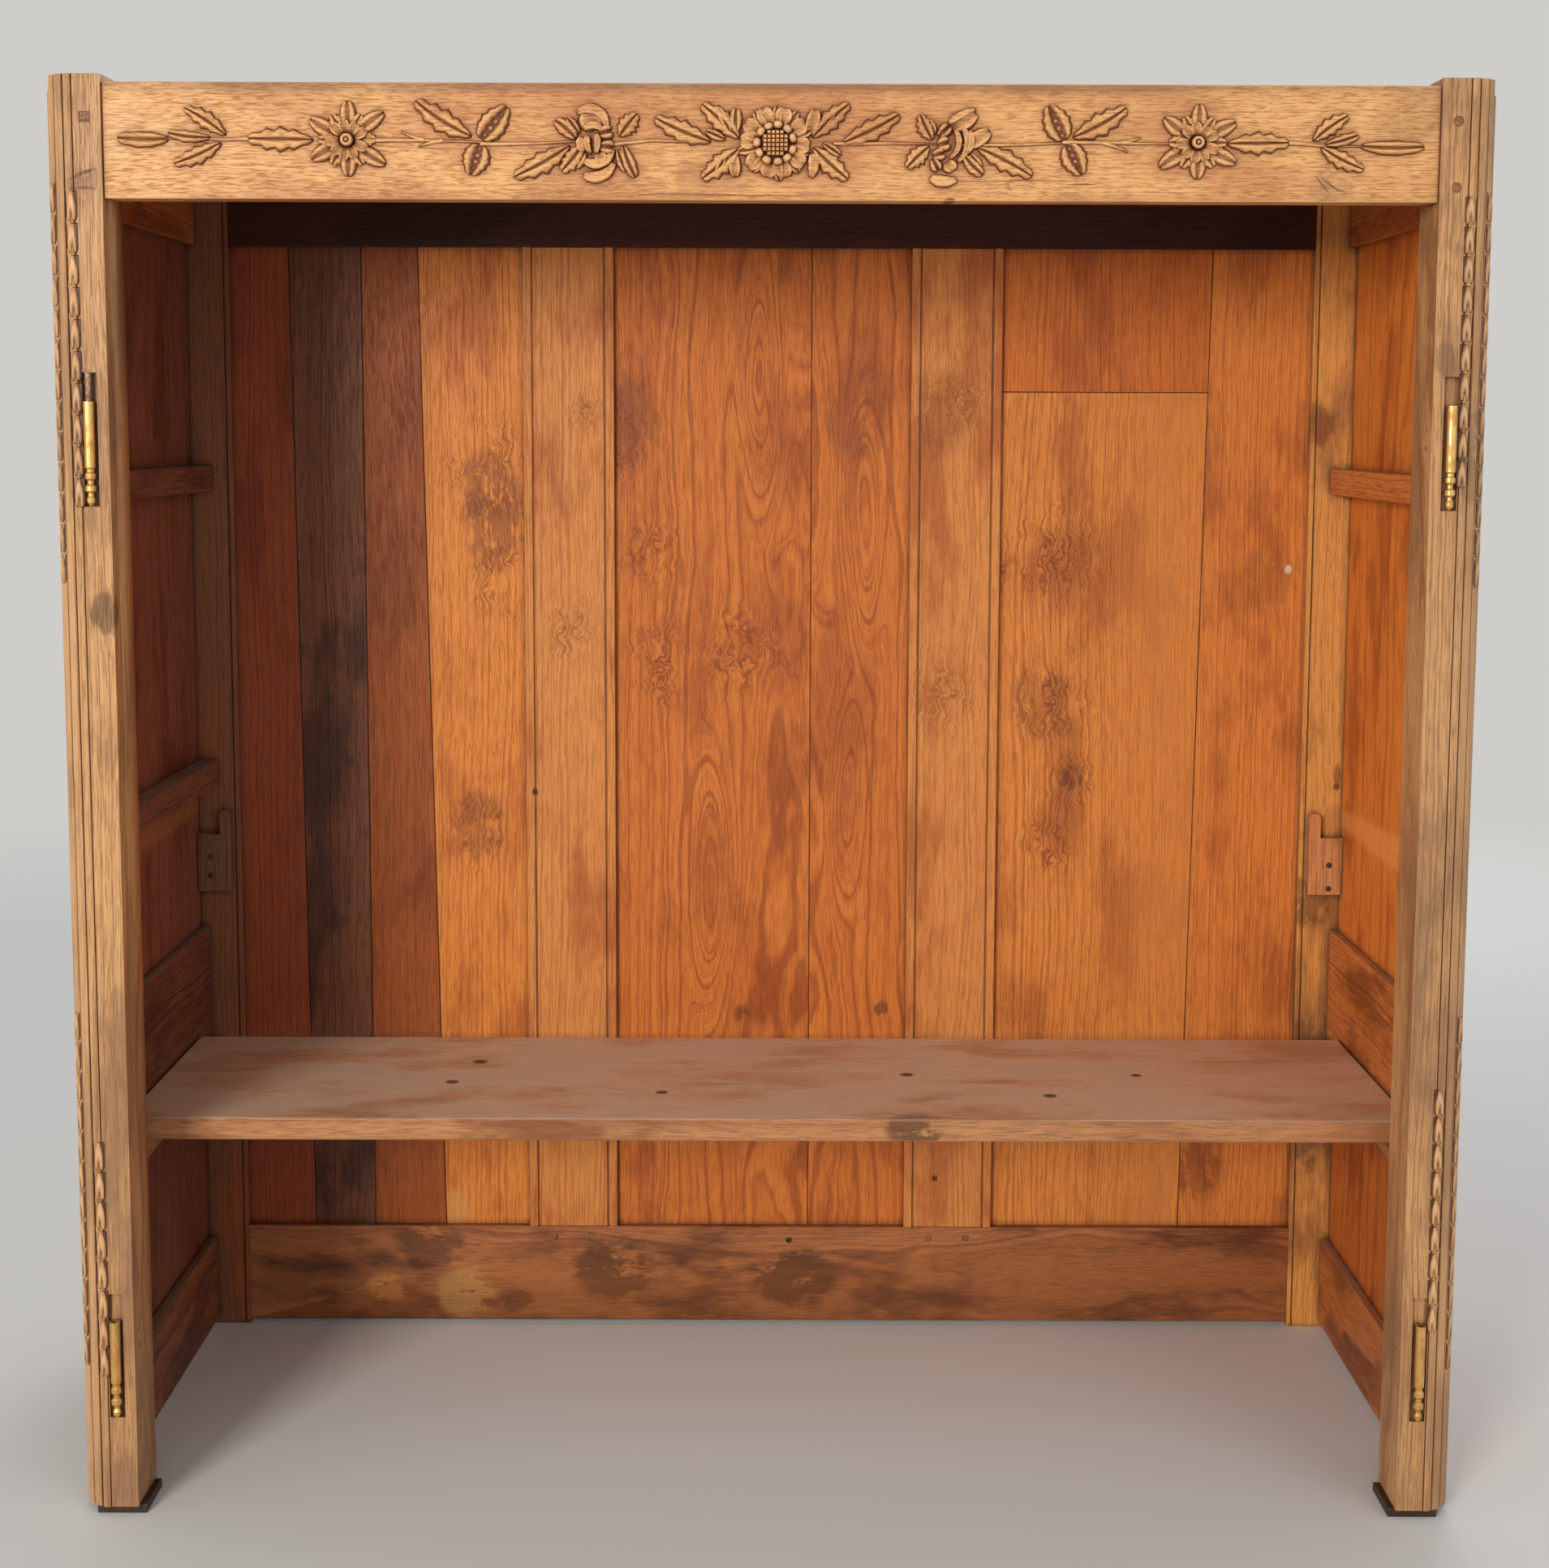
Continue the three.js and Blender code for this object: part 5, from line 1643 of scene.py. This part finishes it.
# %% Peonies
PEONIES = {
    "left": [
        ("lens", -184, 1358, -147, 1366, 11, 5.4, 50), ("lens", -183, 1373, -148, 1378, 10, 6.8, 62),
        ("cup", -167, 1396, -177, 1421, 27, 4.6, 0), ("lens", -189, 1410, -153, 1401, 10, 6.6, -74),
        ("lens", -181, 1396, -159, 1398, 8, 7.4, -64), ("lens", -181, 1393, -181, 1375, 9, 6.4, 34),
        ("lens", -175, 1395, -174, 1374, 7, 7.4, 32), ("lens", -169, 1397, -168, 1374, 7, 8.0, -20),
        ("lobe", -168, 1394, -151, 1398, 13, 7.6, 0), ("lobe", -167, 1383, -149, 1381, 13, 7.6, 0),
        ("cup", -167, 1379, -161, 1366, 13, 6.2, 0),
    ],
    "right": [
        ("cup", 169, 1400, 200, 1417, 18, 5.0, 6), ("lens", 168, 1403, 198, 1421, 7, 5.4, -14),
        ("cup", 184, 1383, 213, 1400, 16, 5.4, 5), ("lens", 151, 1356, 181, 1351, 11, 5.2, 26),
        ("cup", 168, 1371, 176, 1359, 14, 5.2, 0), ("lens", 188, 1401, 189, 1374, 7, 6.4, -40),
        ("lens", 180, 1405, 182, 1365, 7, 6.8, -50), ("lens", 173, 1402, 174, 1369, 6, 7.4, -54),
        ("lobe", 159, 1391, 173, 1405, 11, 7.4, 0), ("lobe", 158, 1384, 173, 1388, 13, 8.0, 0),
        ("lobe", 153, 1374, 169, 1378, 11, 7.2, 0), ("lobe", 154, 1374, 162, 1359, 10, 6.6, 0),
    ],
}

for side, rows in PEONIES.items():
    bunch(f"garland_peony_{side}", [
        lay(kind, (x1, z1), (x2, z2), width, relief, bend) for kind, x1, z1, x2, z2, width, relief, bend in rows
    ])
print(len(carvings), "carved pieces on the rail")

# %% [markdown]
# ## Husks on the posts
#
# Down two beads of each post runs a chain of small husks. Each one swells, splits at its mouth, and lets the
# next one out. Under each lies a narrow flat ground, low enough that the finish paints it dark: painted shade
# of the sunk ground that sets it off from its bead. The chains stop at mid height, where the doors met the
# posts, and start again near the foot. One husk is copied down each stretch, turned to face the way that its
# bead faces round the post's corner.

# %% Places of the husks
CORNER_MIDDLE = 0.671
CORNER_RADIUS = 0.034
HUSK_SINK = 0.0002
HUSK_RELIEF = 0.0022
HUSK_PARTS = (("ground", 1.02, 1.0), ("husk", 1.12, 0.92))
# Each bead has its turn round the corner in degrees, its width, and its runs: post, top, bottom and count
HUSK_RUNS = {
    "inner": (6, 0.0105, [
        ("left", 1.342, 1.035, 10), ("left", 0.398, 0.150, 8), ("right", 1.340, 1.058, 10), ("right", 0.456, 0.201, 9),
    ]),
    "outer": (49, 0.0115, [
        ("left", 1.350, 0.960, 13), ("left", 0.529, 0.158, 12), ("right", 1.345, 0.960, 13),
        ("right", 0.529, 0.158, 12),
    ]),
}


def seat_on_bead(side, turn):
    """The middle line of a bead at floor level, and the turn that lays a husk down along it"""
    sign = -1 if side == "left" else 1
    swing = math.radians(turn) * sign
    outward = Vector((math.sin(swing), -math.cos(swing), 0))
    down = Vector((0, 0, -1))
    turned = Matrix((down, outward.cross(down), outward)).transposed().to_4x4()
    middle = Vector((CORNER_MIDDLE * sign, POST_FRONT + CORNER_RADIUS, 0))
    return middle + outward * (CORNER_RADIUS - HUSK_SINK), turned


print("outer bead of the right post:", [round(value, 4) for value in seat_on_bead("right", 49)[0]])

# %% Husk chains
def husk_run(seat, turned, top, low, count, width):
    """The husks of one run, one under another"""
    pitch = (top - low) / count
    husks = []
    for index in range(count):
        spot = Matrix.Translation(seat + Vector((0, 0, top - pitch * index)))
        for kind, reach, share in HUSK_PARTS:
            part = copy_of(MOTIFS[kind])
            size = Matrix.Diagonal((pitch * reach, width * share, HUSK_RELIEF, 1))
            part.data.transform(spot @ turned @ size)
            husks.append(part)
    return husks


for bead, (turn, width, runs) in HUSK_RUNS.items():
    for side, top, low, count in runs:
        seat, turned = seat_on_bead(side, turn)
        word = "upper" if top > 1 else "lower"
        bunch(f"husks_{side}_{bead}_{word}", husk_run(seat, turned, top, low, count, width))
print(sum(run[-1] for bead in HUSK_RUNS.values() for run in bead[2]), "husks,", len(carvings), "carved pieces in all")

# %% [markdown]
# ## The carving's own oak
#
# The carving is the same oak as the wood it is cut from, but darker in its hollows, with painted shade and dirt,
# and paler on its tops, with a painted highlight that also stands for rubbing.
# The rail and the posts each give their finish, with a few words changed. The bench is cleared first: the
# motifs themselves are no part of the cupboard.

# %% Clear the bench and colour the carving
for motif in MOTIFS.values():
    bpy.data.objects.remove(motif)

# edge_tone is the painted highlight on carved tops, carved the strength of the painted shade and dirt in the hollows,
# and the dirt words the painted shade round the carving
CARVED_WORDS = dict(
    seed=61, edge_tone=(244, 194, 144), corner_dirt_and_shade=0.9, dirt_and_shade_reach=0.008, dirt_and_shade_span=(0.35, 0.95), carved=0.95,
)
CARVED_OAK = {
    "garland": oak("carved_rail_oak", **{**SLOT_OAK["rail_oak"], **CARVED_WORDS, "dirt_tone": (104, 54, 32)}),
    "husks": oak("carved_post_oak", **{**SLOT_OAK["honey_oak"], **CARVED_WORDS, "dirt_tone": (76, 44, 28)}),
}
for carving in carvings:
    carving.data.materials.clear()
    carving.data.materials.append(CARVED_OAK[carving.name.split("_")[0]])
print("bench cleared,", len(carvings), "carved pieces coloured")
